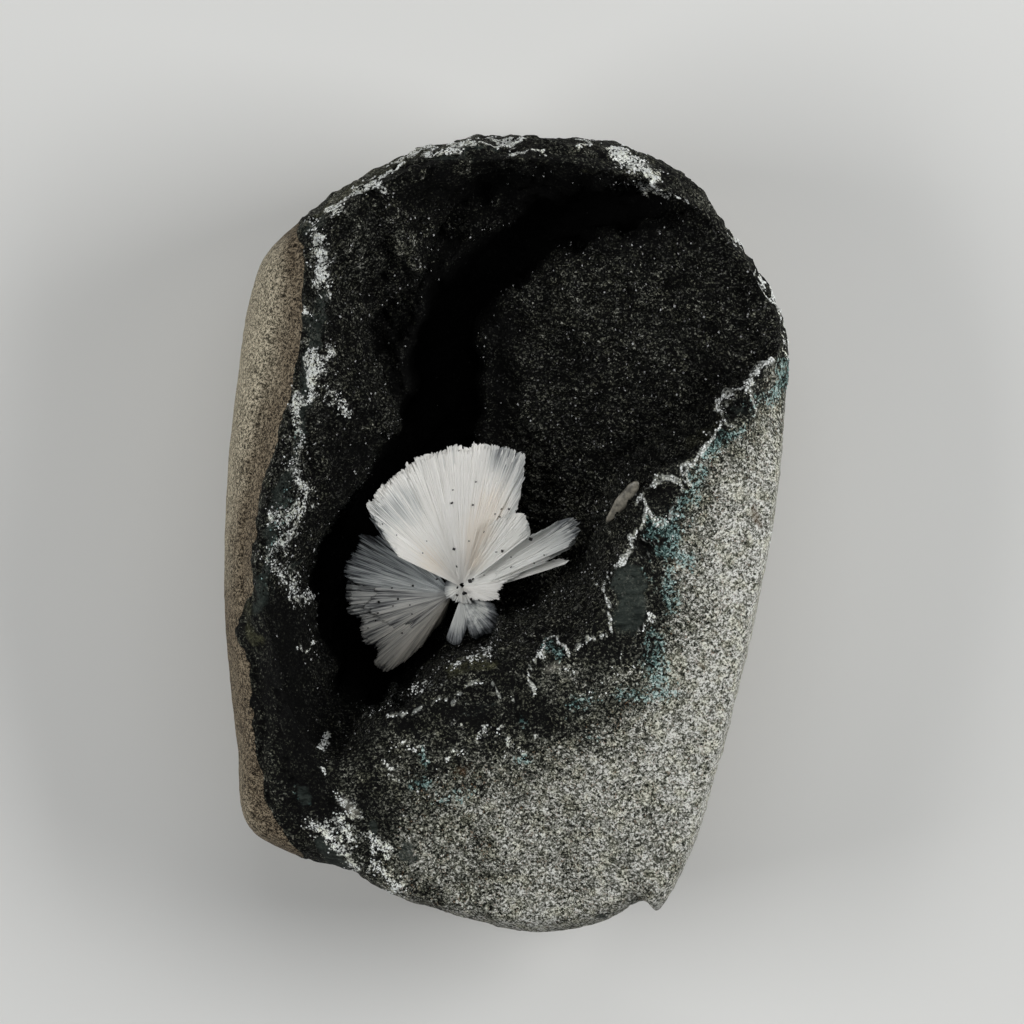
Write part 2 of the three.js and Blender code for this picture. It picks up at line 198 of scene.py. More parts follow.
# Stations clockwise from the top left: outline x and y, lip x, y and height, and the stretch.
STATIONS = (
    (-26.8, 38.1, -24.0, 37.1, 36, "top_left"),
    (-19.9, 43.4, -19.0, 41.3, 35.5, "top_left"),
    (-12.4, 47.3, -12.4, 44.9, 35, "top_left"),
    (-4.3, 49.3, -4.3, 46.4, 34.5, "top_rim"),
    (4.5, 49.6, 4.5, 46.5, 34, "top_rim"),
    (12.6, 49.0, 12.4, 45.4, 33, "top_rim"),
    (19.9, 46.5, 18.9, 43.4, 32, "top_rim"),
    (24.9, 42.4, 23.8, 41.0, 30, "top_rim"),
    (28.3, 37.4, 27.5, 36.9, 28, "thin_rim"),
    (33.0, 30.9, 32.1, 30.6, 27.5, "thin_rim"),
    (35.1, 23.1, 34.2, 23.8, 28.5, "thin_rim"),
    (34.9, 14.4, 31.0, 19.1, 33, "pale_top"),
    (34.1, 5.9, 25.1, 11.9, 37.5, "pale_top"),
    (32.8, -2.6, 18.5, 6.9, 39.5, "pale_right"),
    (30.9, -11.9, 15.8, 0.6, 39.5, "pale_right"),
    (28.8, -20.6, 13.5, -5.6, 39.5, "pale_right"),
    (26.3, -30.0, 10.8, -11.3, 39, "pale_shelf"),
    (23.5, -38.8, 7.0, -14.4, 38.5, "pale_shelf"),
    (19.5, -46.4, 3.0, -15.6, 38, "pale_shelf"),
    (17.0, -45.6, 1.2, -15.7, 37.8, "pale_shelf"),
    (11.6, -48.5, -1.1, -15.9, 37.5, "pale_foot"),
    (3.3, -49.5, -5.3, -17.1, 37, "pale_foot"),
    (-4.9, -47.8, -9.9, -19.6, 37, "pale_foot"),
    (-12.8, -45.4, -13.6, -22.5, 37, "pale_foot"),
    (-19.9, -41.6, -16.7, -24.6, 36, "gully"),
    (-27.0, -39.6, -20.0, -28.0, 34.5, "gully"),
    (-32.4, -35.6, -24.0, -26.2, 34, "gully"),
    (-33.4, -26.9, -27.0, -20.4, 35, "brown_foot"),
    (-34.4, -17.5, -28.0, -15.9, 36, "brown_foot"),
    (-35.0, -8.8, -30.0, -9.6, 37, "brown_foot"),
    (-35.0, 0.6, -30.8, -3.1, 37.5, "brown_side"),
    (-34.5, 10.0, -29.6, 4.4, 38, "brown_side"),
    (-33.5, 18.8, -28.0, 11.9, 38, "brown_side"),
    (-32.3, 27.5, -25.9, 20.0, 37.5, "brown_side"),
    (-30.3, 34.1, -24.8, 28.8, 37, "top_left"),
)

# The trench in the hollow's floor: x, y, half width and floor height.
TRENCH = (
    (23.3, 41.3, 1.5, 20),
    (17.0, 41.3, 2.6, 15),
    (10.8, 40.4, 3.2, 12),
    (5.1, 38.6, 3.2, 10),
    (1.0, 35.4, 3.2, 9),
    (-5.8, 28.8, 3.4, 8),
    (-7.8, 23.1, 3.9, 7),
    (-7.6, 17.5, 4.3, 7),
    (-8.3, 11.9, 5.3, 7),
    (-10.5, 4.4, 7.3, 7),
    (-13.0, -4.4, 6.3, 7),
    (-16.5, -13.1, 4.2, 8),
    (-17.8, -18.1, 3.0, 10),
)
TRENCH_WALL = 2.2

# The hollow: falls are in millimetres per millimetre, shares from 0 to 1, the rest in millimetres.
HOLLOW_CENTRE = np.array([-8, 11.9])
CENTRE_SHARE = 0.012
CLIFF = 6
BLEND = 1.5
CALM_RIM = 2
MOUND_X, MOUND_Y, MOUND_HEIGHT = -1.5, 10, 18.4
MOUND_PER_X, MOUND_PER_Y = 0.225, 0.05
LEDGE_SPACING, LEDGE_HEIGHT = 6.5, 1.1
KNOB_X, KNOB_Y, KNOB_HEIGHT, KNOB_SLOPE = -3.2, -8.2, 20.6, 0.9
CRUST_THICKNESS = 1.1
CRUST_GAP = 0.9

# Low lumps: height and wavelength. Those of the flank are a share of its distance from the middle.
HOLLOW_LUMPS = ((0.7, 9), (0.4, 4.7))
FACE_LUMPS = (0.35, 13)
FLANK_LUMPS = (0.012, 17)
TRENCH_WANDER = (0.8, 3.1)
BASE_SHARE = 0.7

# The grid of the stone: columns round it, rows outwards, and how the face's rows crowd at the lip.
COLUMNS = 860
HOLLOW_ROWS = 92
FACE_ROWS = 58
FLANK_ROWS = 28
HIDDEN_STEP = 5
CROWDING = 1.35


def closed_curve(values, places):
    """A closed Catmull-Rom curve through rows of values, at places counted in rows."""
    count = len(values)
    i = np.floor(places).astype(int)
    t = (places - i)[:, None]
    a, b, c, d = (values[(i + k) % count] for k in (-1, 0, 1, 2))
    straight = 0.5 * (c - a) * t
    bend = (a - 2.5 * b + 2 * c - 0.5 * d) * t**2
    twist = (1.5 * (b - c) + 0.5 * (d - a)) * t**3
    return b + straight + bend + twist


def edge_stations():
    """The edge's values at every column, as one array for each name."""
    rows = np.array([(*row[:5], *STRETCHES[row[5]]) for row in STATIONS], float)
    places = np.arange(COLUMNS) / COLUMNS * len(rows)
    names = ("ox", "oy", "lx", "ly", "lip", "widest", "shoulder", "drop", "slope", "shelf")
    return dict(zip(names, closed_curve(rows, places).T))


def ledges(x, y, spacing):
    """Bedded ledges from 0 to 1, each a slow rise and a quick fall across the beds."""
    across = (y + 0.3 * x + 1.2 * np.sin(0.22 * x + 0.4)) / spacing
    t = across - np.floor(across)
    return smoothstep(0, 0.75, t) - smoothstep(0.8, 1, t)


def trench_floor(x, y):
    """How far a place lies inside the trench's wall, from 0 to 1, and the floor's height there."""
    path = np.array(TRENCH)
    away, _, place = along_path(x, y, path[:, :2])
    k = np.arange(len(path))
    inside = np.interp(place, k, path[:, 2]) - away
    height, size = TRENCH_WANDER
    edge = height * noise(np.stack([x, y, 0 * x], -1), size, 31)
    depth = smoothstep(-TRENCH_WALL / 2, TRENCH_WALL / 2, inside + edge)
    return depth, np.interp(place, k, path[:, 3])


def hollow_surface(edge, share):
    """The hollow: the highest of a wall that falls inwards from the lip and then breaks off in a
    cliff, a tilted mound with ledges and a cone-shaped knob, cut down to the trench's floor."""
    x = HOLLOW_CENTRE[0] + (edge["lx"] - HOLLOW_CENTRE[0]) * share
    y = HOLLOW_CENTRE[1] + (edge["ly"] - HOLLOW_CENTRE[1]) * share
    inward = np.hypot(x - edge["lx"], y - edge["ly"])
    shelf = edge["shelf"]
    wall = edge["lip"] - edge["slope"] * np.minimum(inward, shelf)
    wall -= CLIFF * np.maximum(inward - shelf, 0)
    mound = MOUND_HEIGHT + MOUND_PER_X * (x - MOUND_X) + MOUND_PER_Y * (y - MOUND_Y)
    mound += LEDGE_HEIGHT * ledges(x, y, LEDGE_SPACING)
    knob = KNOB_HEIGHT - KNOB_SLOPE * np.hypot(x - KNOB_X, y - KNOB_Y)
    upper = smooth_max(smooth_max(wall, mound, BLEND), knob, BLEND)
    depth, floor = trench_floor(x, y)
    rough = sum(height * lumps(x, y, 0, size) for height, size in HOLLOW_LUMPS)
    z = upper + (floor - upper) * depth + rough * smoothstep(0, CALM_RIM, inward)
    return np.stack([x, y, np.minimum(z, edge["lip"])], -1)


def face_surface(edge, share):
    """The front face: straight from the lip down to the shoulder, then a quarter ellipse that turns
    over into the side."""
    x = edge["lx"] + (edge["ox"] - edge["lx"]) * share
    y = edge["ly"] + (edge["oy"] - edge["ly"]) * share
    shoulder = edge["shoulder"]
    over = np.maximum(share - shoulder, 0) / (1 - shoulder)
    sloped = edge["lip"] - edge["drop"] * np.minimum(share / shoulder, 1)
    fall = edge["lip"] - edge["drop"] - edge["widest"]
    turned = fall * (1 - np.sqrt(np.maximum(1 - over**2, 0)))
    rough = FACE_LUMPS[0] * lumps(x, y, sloped, FACE_LUMPS[1]) * np.sin(np.pi * share)
    return np.stack([x, y, sloped - turned + rough], -1)


def flank_surface(edge, share):
    """The side and back: a quarter ellipse in each upright plane, down to the resting flat."""
    angle = share * np.pi / 2
    in_plan = BASE_SHARE + (1 - BASE_SHARE) * np.cos(angle)
    z = edge["widest"] * (1 - np.sin(angle))
    height, size = FLANK_LUMPS
    bulge = 1 + height * lumps(edge["ox"], edge["oy"], z, size) * np.sin(np.pi * share)
    return np.stack([edge["ox"] * in_plan * bulge, edge["oy"] * in_plan * bulge, z], -1)


# What lies where on the stone, as outlines and patches in plan

PALE_BORDER = from_photo(
    (800, 372), (766, 392), (728, 428), (700, 450), (684, 486), (675, 521), (664, 560),
    (664, 600), (655, 645), (640, 680), (600, 708), (560, 728), (520, 745), (470, 752),
    (430, 760), (400, 790), (385, 830), (378, 858), (366, 884), (350, 905), (330, 940),
)
BROWN_BORDER = from_photo(
    (336, 120), (300, 222), (303, 262), (305, 330), (290, 400), (272, 460), (258, 520),
    (253, 560), (257, 588), (240, 612), (239, 630), (246, 656), (251, 692), (255, 745),
    (262, 780), (268, 805), (285, 835), (302, 856), (312, 940),
)

# Bands of each kind of ground, and of painted shade (SHADE_BANDS): strength, half width in
# millimetres, and a path in the photograph's pixels.
WHITE_BANDS = (
    (1.0, 0.75, (322, 236), (318, 250), (323, 266), (318, 284)),
    (0.55, 1.5, (318, 232), (322, 262), (326, 292)),
    (0.8, 0.4, (326, 284), (328, 303)),
    (0.9, 0.4, (306, 314), (308, 320)),
    (0.85, 0.5, (331, 350), (327, 360)),
    (0.95, 0.45, (313, 356), (317, 372), (314, 396), (304, 404), (300, 420)),
    (0.6, 0.8, (318, 360), (322, 380)),
    (0.75, 0.8, (300, 400), (298, 436)),
    (0.45, 1.1, (330, 395), (350, 410)),
    (0.6, 1.1, (300, 450), (290, 470), (305, 490)),
    (0.62, 1.3, (275, 520), (305, 505), (285, 545), (268, 556)),
    (0.5, 1.2, (268, 560), (290, 575), (300, 600)),
    (0.75, 0.5, (330, 214), (352, 198), (372, 186)),
    (0.75, 0.34, (380, 183), (400, 163), (413, 151), (440, 153), (469, 150)),
    (0.85, 0.38, (440, 152), (470, 146), (497, 144), (522, 144)),
    (0.85, 0.35, (512, 153), (540, 154)),
    (1.0, 1.2, (616, 157), (632, 168), (652, 179)),
    (0.7, 0.35, (576, 146), (594, 144)),
    (0.6, 0.45, (640, 183), (668, 196), (684, 205)),
    (0.7, 0.2, (727, 230), (740, 250)),
    (0.75, 0.24, (752, 270), (765, 284), (777, 308), (781, 326)),
    (0.6, 0.24, (783, 330), (785, 360)),
    (1.0, 0.5, (333, 732), (328, 738), (326, 748)),
    (0.9, 0.32, (328, 764), (325, 772)),
    (0.6, 1.1, (345, 798), (356, 812)),
    (0.68, 1.3, (318, 824), (334, 838), (345, 850), (356, 862)),
    (0.6, 1.4, (340, 818), (352, 836)),
    (0.85, 0.5, (366, 836), (372, 850)),
    (0.75, 0.8, (378, 836), (390, 850)),
    (0.6, 1.3, (376, 862), (400, 885)),
    (0.2, 2.2, (400, 745), (425, 790), (415, 820)),
    (0.35, 0.6, (668, 532), (700, 528), (740, 538), (770, 535)),
    (0.22, 2.0, (560, 665), (590, 690), (640, 650)),
    (0.62, 0.45, (453, 722), (462, 725)),
    (0.6, 0.45, (485, 725), (479, 734)),
    (0.62, 0.4, (501, 725), (502, 727)),
    (0.7, 0.35, (418, 686), (428, 681)),
    (0.6, 0.36, (450, 756), (456, 750), (466, 750), (473, 755)),
    (0.6, 0.36, (510, 738), (512, 744), (518, 750), (526, 752), (524, 756), (516, 759)),
    (0.55, 0.4, (497, 750), (507, 748), (510, 756)),
    (0.52, 0.4, (387, 760), (393, 766), (401, 766)),
    (0.48, 0.6, (404, 738), (414, 741), (424, 744), (431, 753)),
    (0.8, 0.7, (372, 186), (384, 194)),
    (0.5, 0.35, (536, 732), (540, 728)),
    (0.7, 0.3, (646, 612), (652, 618), (640, 632)),
    (0.55, 0.6, (487, 653), (466, 660), (452, 668)),
    (0.8, 0.25, (298, 597), (312, 597)),
    (0.8, 0.25, (306, 646), (316, 644)),
)
VEIN_BANDS = (
    (1.0, 0.23, (637, 492), (640, 511), (635, 529), (630, 548), (612, 570), (603, 590),
     (611, 617), (612, 629), (604, 640), (590, 639), (579, 646), (569, 650), (564, 644),
     (558, 637), (550, 639), (543, 646), (544, 655), (537, 663), (530, 671), (529, 680),
     (535, 692)),
    (0.68, 0.3, (388, 715), (401, 714), (410, 710), (426, 703), (443, 701), (456, 699),
     (464, 688), (479, 681), (493, 687), (502, 696), (518, 698), (533, 698)),
    (0.45, 0.32, (368, 717), (403, 695), (445, 683), (456, 666), (488, 657)),
    (1.0, 0.28, (768, 360), (757, 374), (748, 388), (736, 391), (724, 396), (719, 410),
     (722, 428), (707, 442), (695, 457), (691, 466), (684, 464), (679, 471), (684, 478)),
    (0.8, 0.25, (691, 470), (686, 490), (676, 483), (667, 480), (653, 481), (643, 486)),
    (0.75, 0.24, (641, 511), (652, 521), (664, 521), (676, 512)),
)
TEAL_BANDS = (
    (0.8, 1.3, (784, 362), (778, 385), (768, 400)), (0.6, 1.2, (768, 396), (735, 412)),
    (0.8, 1.1, (741, 428), (722, 441), (706, 452)), (0.8, 1.0, (700, 470), (690, 498)),
    (0.85, 1.3, (682, 503), (667, 517)), (1.0, 1.6, (652, 525), (672, 533)),
    (0.9, 1.5, (660, 548), (684, 560)), (0.75, 1.3, (668, 575), (672, 610)),
    (0.85, 1.6, (655, 640), (655, 680)), (0.9, 0.8, (546, 645), (560, 650)),
    (0.7, 1.4, (575, 700), (590, 695)), (0.75, 1.6, (623, 692), (667, 690)),
    (0.8, 0.9, (424, 750), (424, 756)), (0.8, 0.7, (518, 762), (530, 760)),
    (0.8, 1.0, (414, 784), (424, 786)), (0.7, 0.6, (521, 713), (521, 720)),
    (0.6, 0.8, (586, 735), (596, 735)), (0.6, 0.9, (297, 434), (303, 440)),
    (0.5, 1.3, (290, 500), (262, 580)), (0.5, 1.2, (300, 790), (308, 800)),
    (0.55, 1.2, (470, 790), (440, 800)), (0.45, 1.0, (655, 585), (640, 565)),
    (0.3, 1.2, (690, 500), (676, 600)), (0.25, 1.4, (660, 620), (640, 700)),
)
WAX_BANDS = (
    (1.0, 1.5, (322, 842), (340, 866)), (0.8, 1.0, (303, 788), (308, 800)),
    (0.8, 0.9, (371, 822), (372, 838)), (0.8, 1.4, (408, 850), (414, 852)),
    (0.8, 0.7, (600, 915), (610, 912)), (0.7, 1.6, (312, 326), (322, 342)),
    (0.6, 1.4, (306, 236), (326, 222)), (0.6, 0.8, (440, 160), (500, 150)),
    (1.0, 2.5, (628, 578), (630, 620)), (0.6, 0.9, (280, 580), (300, 560)),
    (0.5, 1.2, (500, 705), (470, 712)), (0.6, 0.8, (735, 405), (748, 410)),
    (0.7, 1.4, (322, 300), (310, 380), (302, 430), (284, 490), (266, 560), (262, 610)),
)
DARK_BANDS = (
    (0.8, 1.7, (415, 885), (436, 898)), (0.7, 0.6, (477, 780), (479, 788)),
    (0.5, 0.6, (478, 838), (488, 836)), (0.6, 1.2, (640, 540), (650, 550)),
    (0.8, 0.9, (400, 722), (416, 722)), (0.5, 0.9, (606, 716), (640, 700)),
    (0.5, 0.8, (690, 740), (688, 742)),
)
# Painted shade: bands where the tone is darkened, under the top rim, along the trench and the left
# wall, and over parts of the mound and the lower face.
SHADE_BANDS = (
    (0.9, 3.4, (285, 610), (292, 690), (305, 760), (322, 800)),
    (0.6, 3.2, (352, 410), (350, 470), (340, 520), (330, 600)),
    (0.7, 2.4, (500, 330), (505, 420), (490, 440)),
    (0.55, 6.0, (445, 810), (470, 880)),
    (0.25, 6.0, (650, 800), (640, 880)),
    (0.25, 6.0, (540, 800), (580, 880)),
    (0.4, 2.0, (690, 430), (718, 432)),
    (0.5, 1.6, (450, 712), (520, 716), (560, 722)),
    (1.0, 3.4, (425, 190), (500, 188), (570, 196), (630, 214)),
    (0.8, 2.6, (445, 250), (425, 330), (425, 420)),
    (0.3, 6.0, (750, 290), (700, 400), (640, 440)),
)
SPECKLED_BANDS = (
    (0.3, 2.8, (556, 672), (600, 692), (640, 676)), (0.25, 2.4, (560, 724), (636, 704)),
    (0.2, 2.2, (388, 742), (440, 760), (520, 742)), (0.3, 3.0, (400, 760), (420, 800), (404, 850)),
    (0.16, 2.6, (330, 760), (345, 800), (360, 850)), (0.5, 1.6, (770, 372), (776, 404)),
    (0.38, 1.2, (322, 214), (352, 188), (392, 160), (425, 148), (470, 142)),
)
BROWN_BANDS = (
    (0.8, 0.9, (754, 512), (760, 522)), (0.7, 0.7, (698, 662), (702, 668)),
    (0.6, 0.6, (516, 828), (522, 834)), (0.6, 0.4, (758, 455), (760, 458)),
    (0.7, 0.7, (456, 768), (462, 770)), (0.5, 0.5, (470, 792), (472, 794)),
)
OLIVE_BANDS = (
    (0.8, 1.2, (252, 626), (258, 640)), (0.6, 1.0, (250, 606), (254, 612)),
    (0.5, 0.5, (584, 172), (598, 174)), (0.5, 1.6, (690, 440), (720, 425)),
    (1.0, 1.1, (452, 670), (472, 662), (492, 662)),
    (0.6, 1.0, (322, 214), (352, 190), (392, 162), (425, 149)),
)
# Ovals: x, y, half length, half width and turn in degrees. Smooth lumps: x, y and radius.
OVALS = (
    (29.3, 16.0, 2.2, 1.6, 62),
    (19.2, 4.5, 2.35, 2.05, 30),
    (22.4, 7.4, 0.9, 0.8, 0),
    (17.6, -1.4, 1.4, 1.1, 0),
    (24.8, 11.6, 1.0, 0.7, 40),
)
SMOOTH_LUMPS = ((15.3, -7.6, 3.6),)
GLAZE_BANDS = (
    (0.7, 1.0, (344, 800), (354, 812)), (0.6, 0.8, (548, 668), (556, 664)),
)
TORN_BANDS = {
    "wax": WAX_BANDS,
    "white": WHITE_BANDS,
    "dark": DARK_BANDS,
    "rusty": BROWN_BANDS,
    "olive": OLIVE_BANDS,
}

# Round lumps in the hollow: x, y and radius.
DOMES = np.column_stack([
    from_photo(
        (417, 174), (462, 166), (496, 199), (354, 260), (404, 241), (471, 278), (367, 424),
        (346, 246), (393, 214), (412, 262),
    ),
    [1.1, 1.1, 0.8, 1.1, 1.5, 1.2, 0.8, 0.8, 0.9, 0.8],
])


def bands(x, y, rows):
    """The strongest of several bands: each falls off from its path as a bell curve."""
    total = np.zeros(x.shape)
    for strength, half_width, *path in rows:
        away, _, _ = along_path(x, y, from_photo(*path))
        total = np.maximum(total, strength * np.exp(-((away / half_width) ** 2)))
    return total


def round_lumps(x, y):
    """The height of the highest half ball over each point, and the strength of the balls' rims, which
    are clearest at the lower right: a painted highlight on the lit side of each rim."""
    height = np.zeros(x.shape)
    rim = np.zeros(x.shape)
    for px, py, radius in DOMES:
        out = np.hypot(x - px, y - py) / radius
        height = np.maximum(height, radius * np.sqrt((1 - out**2).clip(0, 1)))
        lit = smoothstep(-0.9, 0.8, (x - px - (y - py)) / radius)
        rim = np.maximum(rim, lit * np.exp(-(((out - 0.85) / 0.32) ** 2)))
    return height, rim


def jagged(points):
    """Places shifted in plan by coarse and fine noise, so that bands drawn on them look torn."""
    x = points[..., 0] + 0.7 * noise(points, 1.9, 81) + 0.3 * noise(points, 0.8, 83)
    y = points[..., 1] + 0.7 * noise(points, 1.9, 82) + 0.3 * noise(points, 0.8, 84)
    return x, y


def ground_of(points, in_hollow):
    """The kinds of ground at each point, each from 0 to 1: share of light grains, brown worn skin,
    teal stain, dark green waxy skin, white crust and so on. Also painted light and shade: the shade
    bands, how deep in the hollow or near the trench a point is, and the lit lower right rims of the
    domes."""
    x, y, z = points[..., 0], points[..., 1], points[..., 2]
    wander = layered(points, 3.0, 3, 71)
    pale_away, pale_side, _ = along_path(x, y, PALE_BORDER)
    pale_line = pale_away * pale_side + 1.5 * wander
    brown_away, brown_side, _ = along_path(x, y, BROWN_BORDER)
    brown_line = -brown_away * brown_side + 0.7 * wander
    outside = 1 - in_hollow
    front = np.maximum(smoothstep(9, 17, z + 6 * wander), in_hollow)
    jx, jy = jagged(points)
    fields = {}
    pale = smoothstep(-1.5, 2.2, pale_line) * outside * front
    fields["pale"] = pale
    # The pale ground's tone rises further inside its border and towards the right (+x).
    rise = 0.42 + 0.46 * smoothstep(0, 8, pale_line) + 0.12 * smoothstep(8, 24, x)
    fields["light"] = pale * rise
    fields["brown"] = np.maximum(smoothstep(-0.25, 0.25, brown_line) * outside, 1 - front)
    worn = smoothstep(0.3, 5.5, brown_line) * (0.75 + 0.25 * smoothstep(-10, 20, y))
    fields["worn"] = np.maximum(worn, 0.55 * (1 - front))
    for name, rows in TORN_BANDS.items():
        fields[name] = bands(jx, jy, rows) * front
    fields["shade"] = bands(x, y, SHADE_BANDS) * front
    oval_hollow, oval_rim = rings_round(jx, jy, OVALS)
    fields["vein"] = np.maximum(bands(jx, jy, VEIN_BANDS), 0.6 * oval_rim) * front
    fields["oval"] = oval_hollow * front
    fields["teal"] = bands(jx, jy, TEAL_BANDS) * front * (1 - 0.6 * oval_hollow)
    speckled = bands(x + wander, y, SPECKLED_BANDS) * outside * front
    fields["light"] = np.maximum(fields["light"], speckled)
    fields["smooth"] = patches(x, y, SMOOTH_LUMPS)
    fields["glaze"] = bands(x + 0.2 * wander, y, GLAZE_BANDS) * front
    fields["dome"], rim = round_lumps(x + 0.3 * wander, y)
    # Painted highlight on the lit lower right rims of the domes.
    fields["ring"] = rim * smoothstep(12, 20, z) * front
    # Painted shade: the tone is darkened low in the hollow and, in part, along the trench.
    beside = np.exp(-((along_path(x, y, np.array(TRENCH)[:, :2])[0] / 7.5) ** 2))
    beside = beside * (1 - smoothstep(-3, 5, x) * (1 - smoothstep(30, 38, y)))
    below = 1 - smoothstep(10, 19 + 6 * beside, z)
    fields["deep"] = in_hollow * np.maximum(below, 0.35 * beside)
    fields["hollow"] = in_hollow
    return fields


def unit_normals(grid):
    """Unit normals of a grid of rings that run clockwise and outwards: the cross product of the
    steps across and along the rings."""
    across = np.gradient(grid, axis=0)
    along = (np.roll(grid, -1, axis=1) - np.roll(grid, 1, axis=1)) / 2
    normals = np.cross(along, across)
    length = np.linalg.norm(normals, axis=-1, keepdims=True)
    return normals / np.maximum(length, 1e-9)


def relief(points, fields):
    """How far each point stands out along its normal, in millimetres. Every kind of ground has its
    own lumps, grain, ledges and pits, weighed by how much of that ground is there."""
    x, y, z = (points[..., i] for i in range(3))
    pale, brown, hollow = fields["pale"], fields["brown"], fields["hollow"]
    broken_ground = (1 - pale) * (1 - brown) * (1 - hollow)
    grain = layered(points, 0.9, 2, 11)
    broken = layered(points, 3.4, 3, 21)
    crags = ridged(points, 5.2, 3, 25) - 0.6
    pit, who = cells_of(points, 1.9, 41)
    pits = (1 - smoothstep(0.12, 0.42, pit)) * (who > 0.45)
    total = pale * (0.12 * grain + 0.14 * broken - 0.22 * pits)
    total += brown * (0.05 * grain + 0.10 * broken - 0.12 * pits * (who > 0.7))
    total += broken_ground * (0.18 * grain + 0.55 * broken + 0.45 * crags - 0.3 * pits)
    beds = ledges(x + 0.8 * broken, y + 1.1 * broken, 1.7) - 0.5
    on_mound = hollow * smoothstep(-3, 2, x) * smoothstep(-6, 2, y)
    total += hollow * (0.22 * grain + 0.6 * broken + 0.6 * crags) + on_mound * 0.5 * beds
    ball, _ = cells_of(points + 0.3 * broken[..., None], 2.1, 61)
    on_wall = hollow * smoothstep(-4, -9, x) * smoothstep(4, 12, y) * smoothstep(13, 19, z)
    total += on_wall * 0.75 * ((1 - (ball / 0.8) ** 2).clip(0, 1) - 0.4)
    total += 0.16 * fields["vein"] + 0.14 * fields["white"] * (0.5 + grain)
    total -= 0.8 * fields["oval"] + 0.5 * fields["dark"]
    total += 0.5 * fields["smooth"] * (1 - hollow * 0.5) + 0.3 * fields["glaze"]
    total += 0.65 * fields["dome"]
    return total * smoothstep(0, 3, z)


def mesh_of(name, points, faces, fields=None, sharp=None, smooth=True):
    """A mesh from points in millimetres, faces as arrays of three or four columns, and a named
    number for each point."""
    mesh = bpy.data.meshes.new(name)
    mesh.vertices.add(len(points))
    mesh.vertices.foreach_set("co", (points * MM).astype(np.float32).ravel())
    corners = np.concatenate([f.ravel() for f in faces]).astype(np.int32)
    sizes = np.concatenate([np.full(len(f), f.shape[1]) for f in faces])
    starts = np.concatenate([[0], np.cumsum(sizes)[:-1]]).astype(np.int32)
    mesh.loops.add(len(corners))
    mesh.loops.foreach_set("vertex_index", corners)
    mesh.polygons.add(len(sizes))
    mesh.polygons.foreach_set("loop_start", starts)
    mesh.polygons.foreach_set("use_smooth", np.full(len(sizes), smooth))
    mesh.update(calc_edges=True)
    for key, values in (fields or {}).items():
        layer = mesh.attributes.new(key, "FLOAT", "POINT")
        layer.data.foreach_set("value", values.astype(np.float32).ravel())
    if sharp is not None:
        ends = np.empty(2 * len(mesh.edges), np.int32)
        mesh.edges.foreach_get("vertices", ends)
        on_seam = sharp[ends.reshape(-1, 2)].all(1)
        layer = mesh.attributes.new("sharp_edge", "BOOLEAN", "EDGE")
        layer.data.foreach_set("value", on_seam)
    mesh.validate()
    return mesh


def piece_of(name, mesh, material, slot, *nodes):
    """An object at the origin that rides on the root body and stands for the CAD nodes it names."""
    piece = bpy.data.objects.new(name, mesh)
    bpy.context.scene.collection.objects.link(piece)
    mesh.materials.append(material)
    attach(piece, "root")
    if nodes:
        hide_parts(*nodes)


def rings_to_faces(rows, columns, first=0):
    """Quads between neighbouring closed rings, each row of points one ring."""
    r, c = np.mgrid[0 : rows - 1, 0:columns]
    a = first + r * columns + c
    b = first + r * columns + (c + 1) % columns
    return np.stack([a, b, b + columns, a + columns], -1).reshape(-1, 4)


def closed_rings(rings):
    """Points and faces of a closed surface through rings (rows, columns, 3), capped at both ends
    by a fan to the middle of the end ring."""
    rows, columns, _ = rings.shape
    points = np.concatenate([rings.reshape(-1, 3), rings[[0, -1]].mean(1)])
    c = np.arange(columns)
    nxt = (c + 1) % columns
    start = np.stack([np.full(columns, rows * columns), nxt, c], -1)
    last = (rows - 1) * columns
    end = np.stack([last + c, last + nxt, np.full(columns, rows * columns + 1)], -1)
    return points, [rings_to_faces(rows, columns), start, end]


def with_ends(field):
    """A number for each ring point, and for the two end points that close the rings."""
    return np.concatenate([field.ravel(), field[[0, -1]].mean(1)])


def stone_surfaces():
    """The rings of the hollow, then of the face and flank, with their relief, and their grounds."""
    edge = edge_stations()
    inner = [hollow_surface(edge, s) for s in np.linspace(CENTRE_SHARE, 1, HOLLOW_ROWS)]
    out = 1 - (1 - np.linspace(0, 1, FACE_ROWS)) ** CROWDING
    face = [face_surface(edge, t) for t in out[1:]]
    flank = [flank_surface(edge, t) for t in np.linspace(0, 1, FLANK_ROWS)[1:]]
    grid = np.array(inner + face + flank)
    rows = np.arange(len(grid))[:, None] * np.ones(COLUMNS)
    in_hollow = 1 - smoothstep(HOLLOW_ROWS - 3, HOLLOW_ROWS + 1, rows)
    fields = ground_of(grid, in_hollow)
    normals = unit_normals(grid)
    raised = relief(grid, fields)
    # The relief's height, kept to paint light on its crests and shade in its dips.
    fields["relief_shading"] = raised.clip(-1, 1)
    high = grid + normals * raised[..., None]
    high[..., 2] = high[..., 2].clip(0, None)
    return high, normals, fields


def hidden_rows():
    """The rows that the hidden surfaces under the crust keep, from the middle to the lip."""
    return np.r_[0 : HOLLOW_ROWS - 4 : HIDDEN_STEP, HOLLOW_ROWS - 3, HOLLOW_ROWS - 1]


def sunk(high, normals, depth):
    """The hidden rows of the hollow, lowered so that they lie a depth under its surface, square to
    it, but no deeper than a few times that on a cliff, and not at all at the lip."""
    kept = hidden_rows()
    flatness = np.abs(normals[kept, :, 2]).clip(0.3, 1)
    taper = 1 - smoothstep(HOLLOW_ROWS - 4, HOLLOW_ROWS - 1, kept)[:, None]
    lowered = high[kept]
    lowered[..., 2] -= depth / flatness * taper
    return lowered


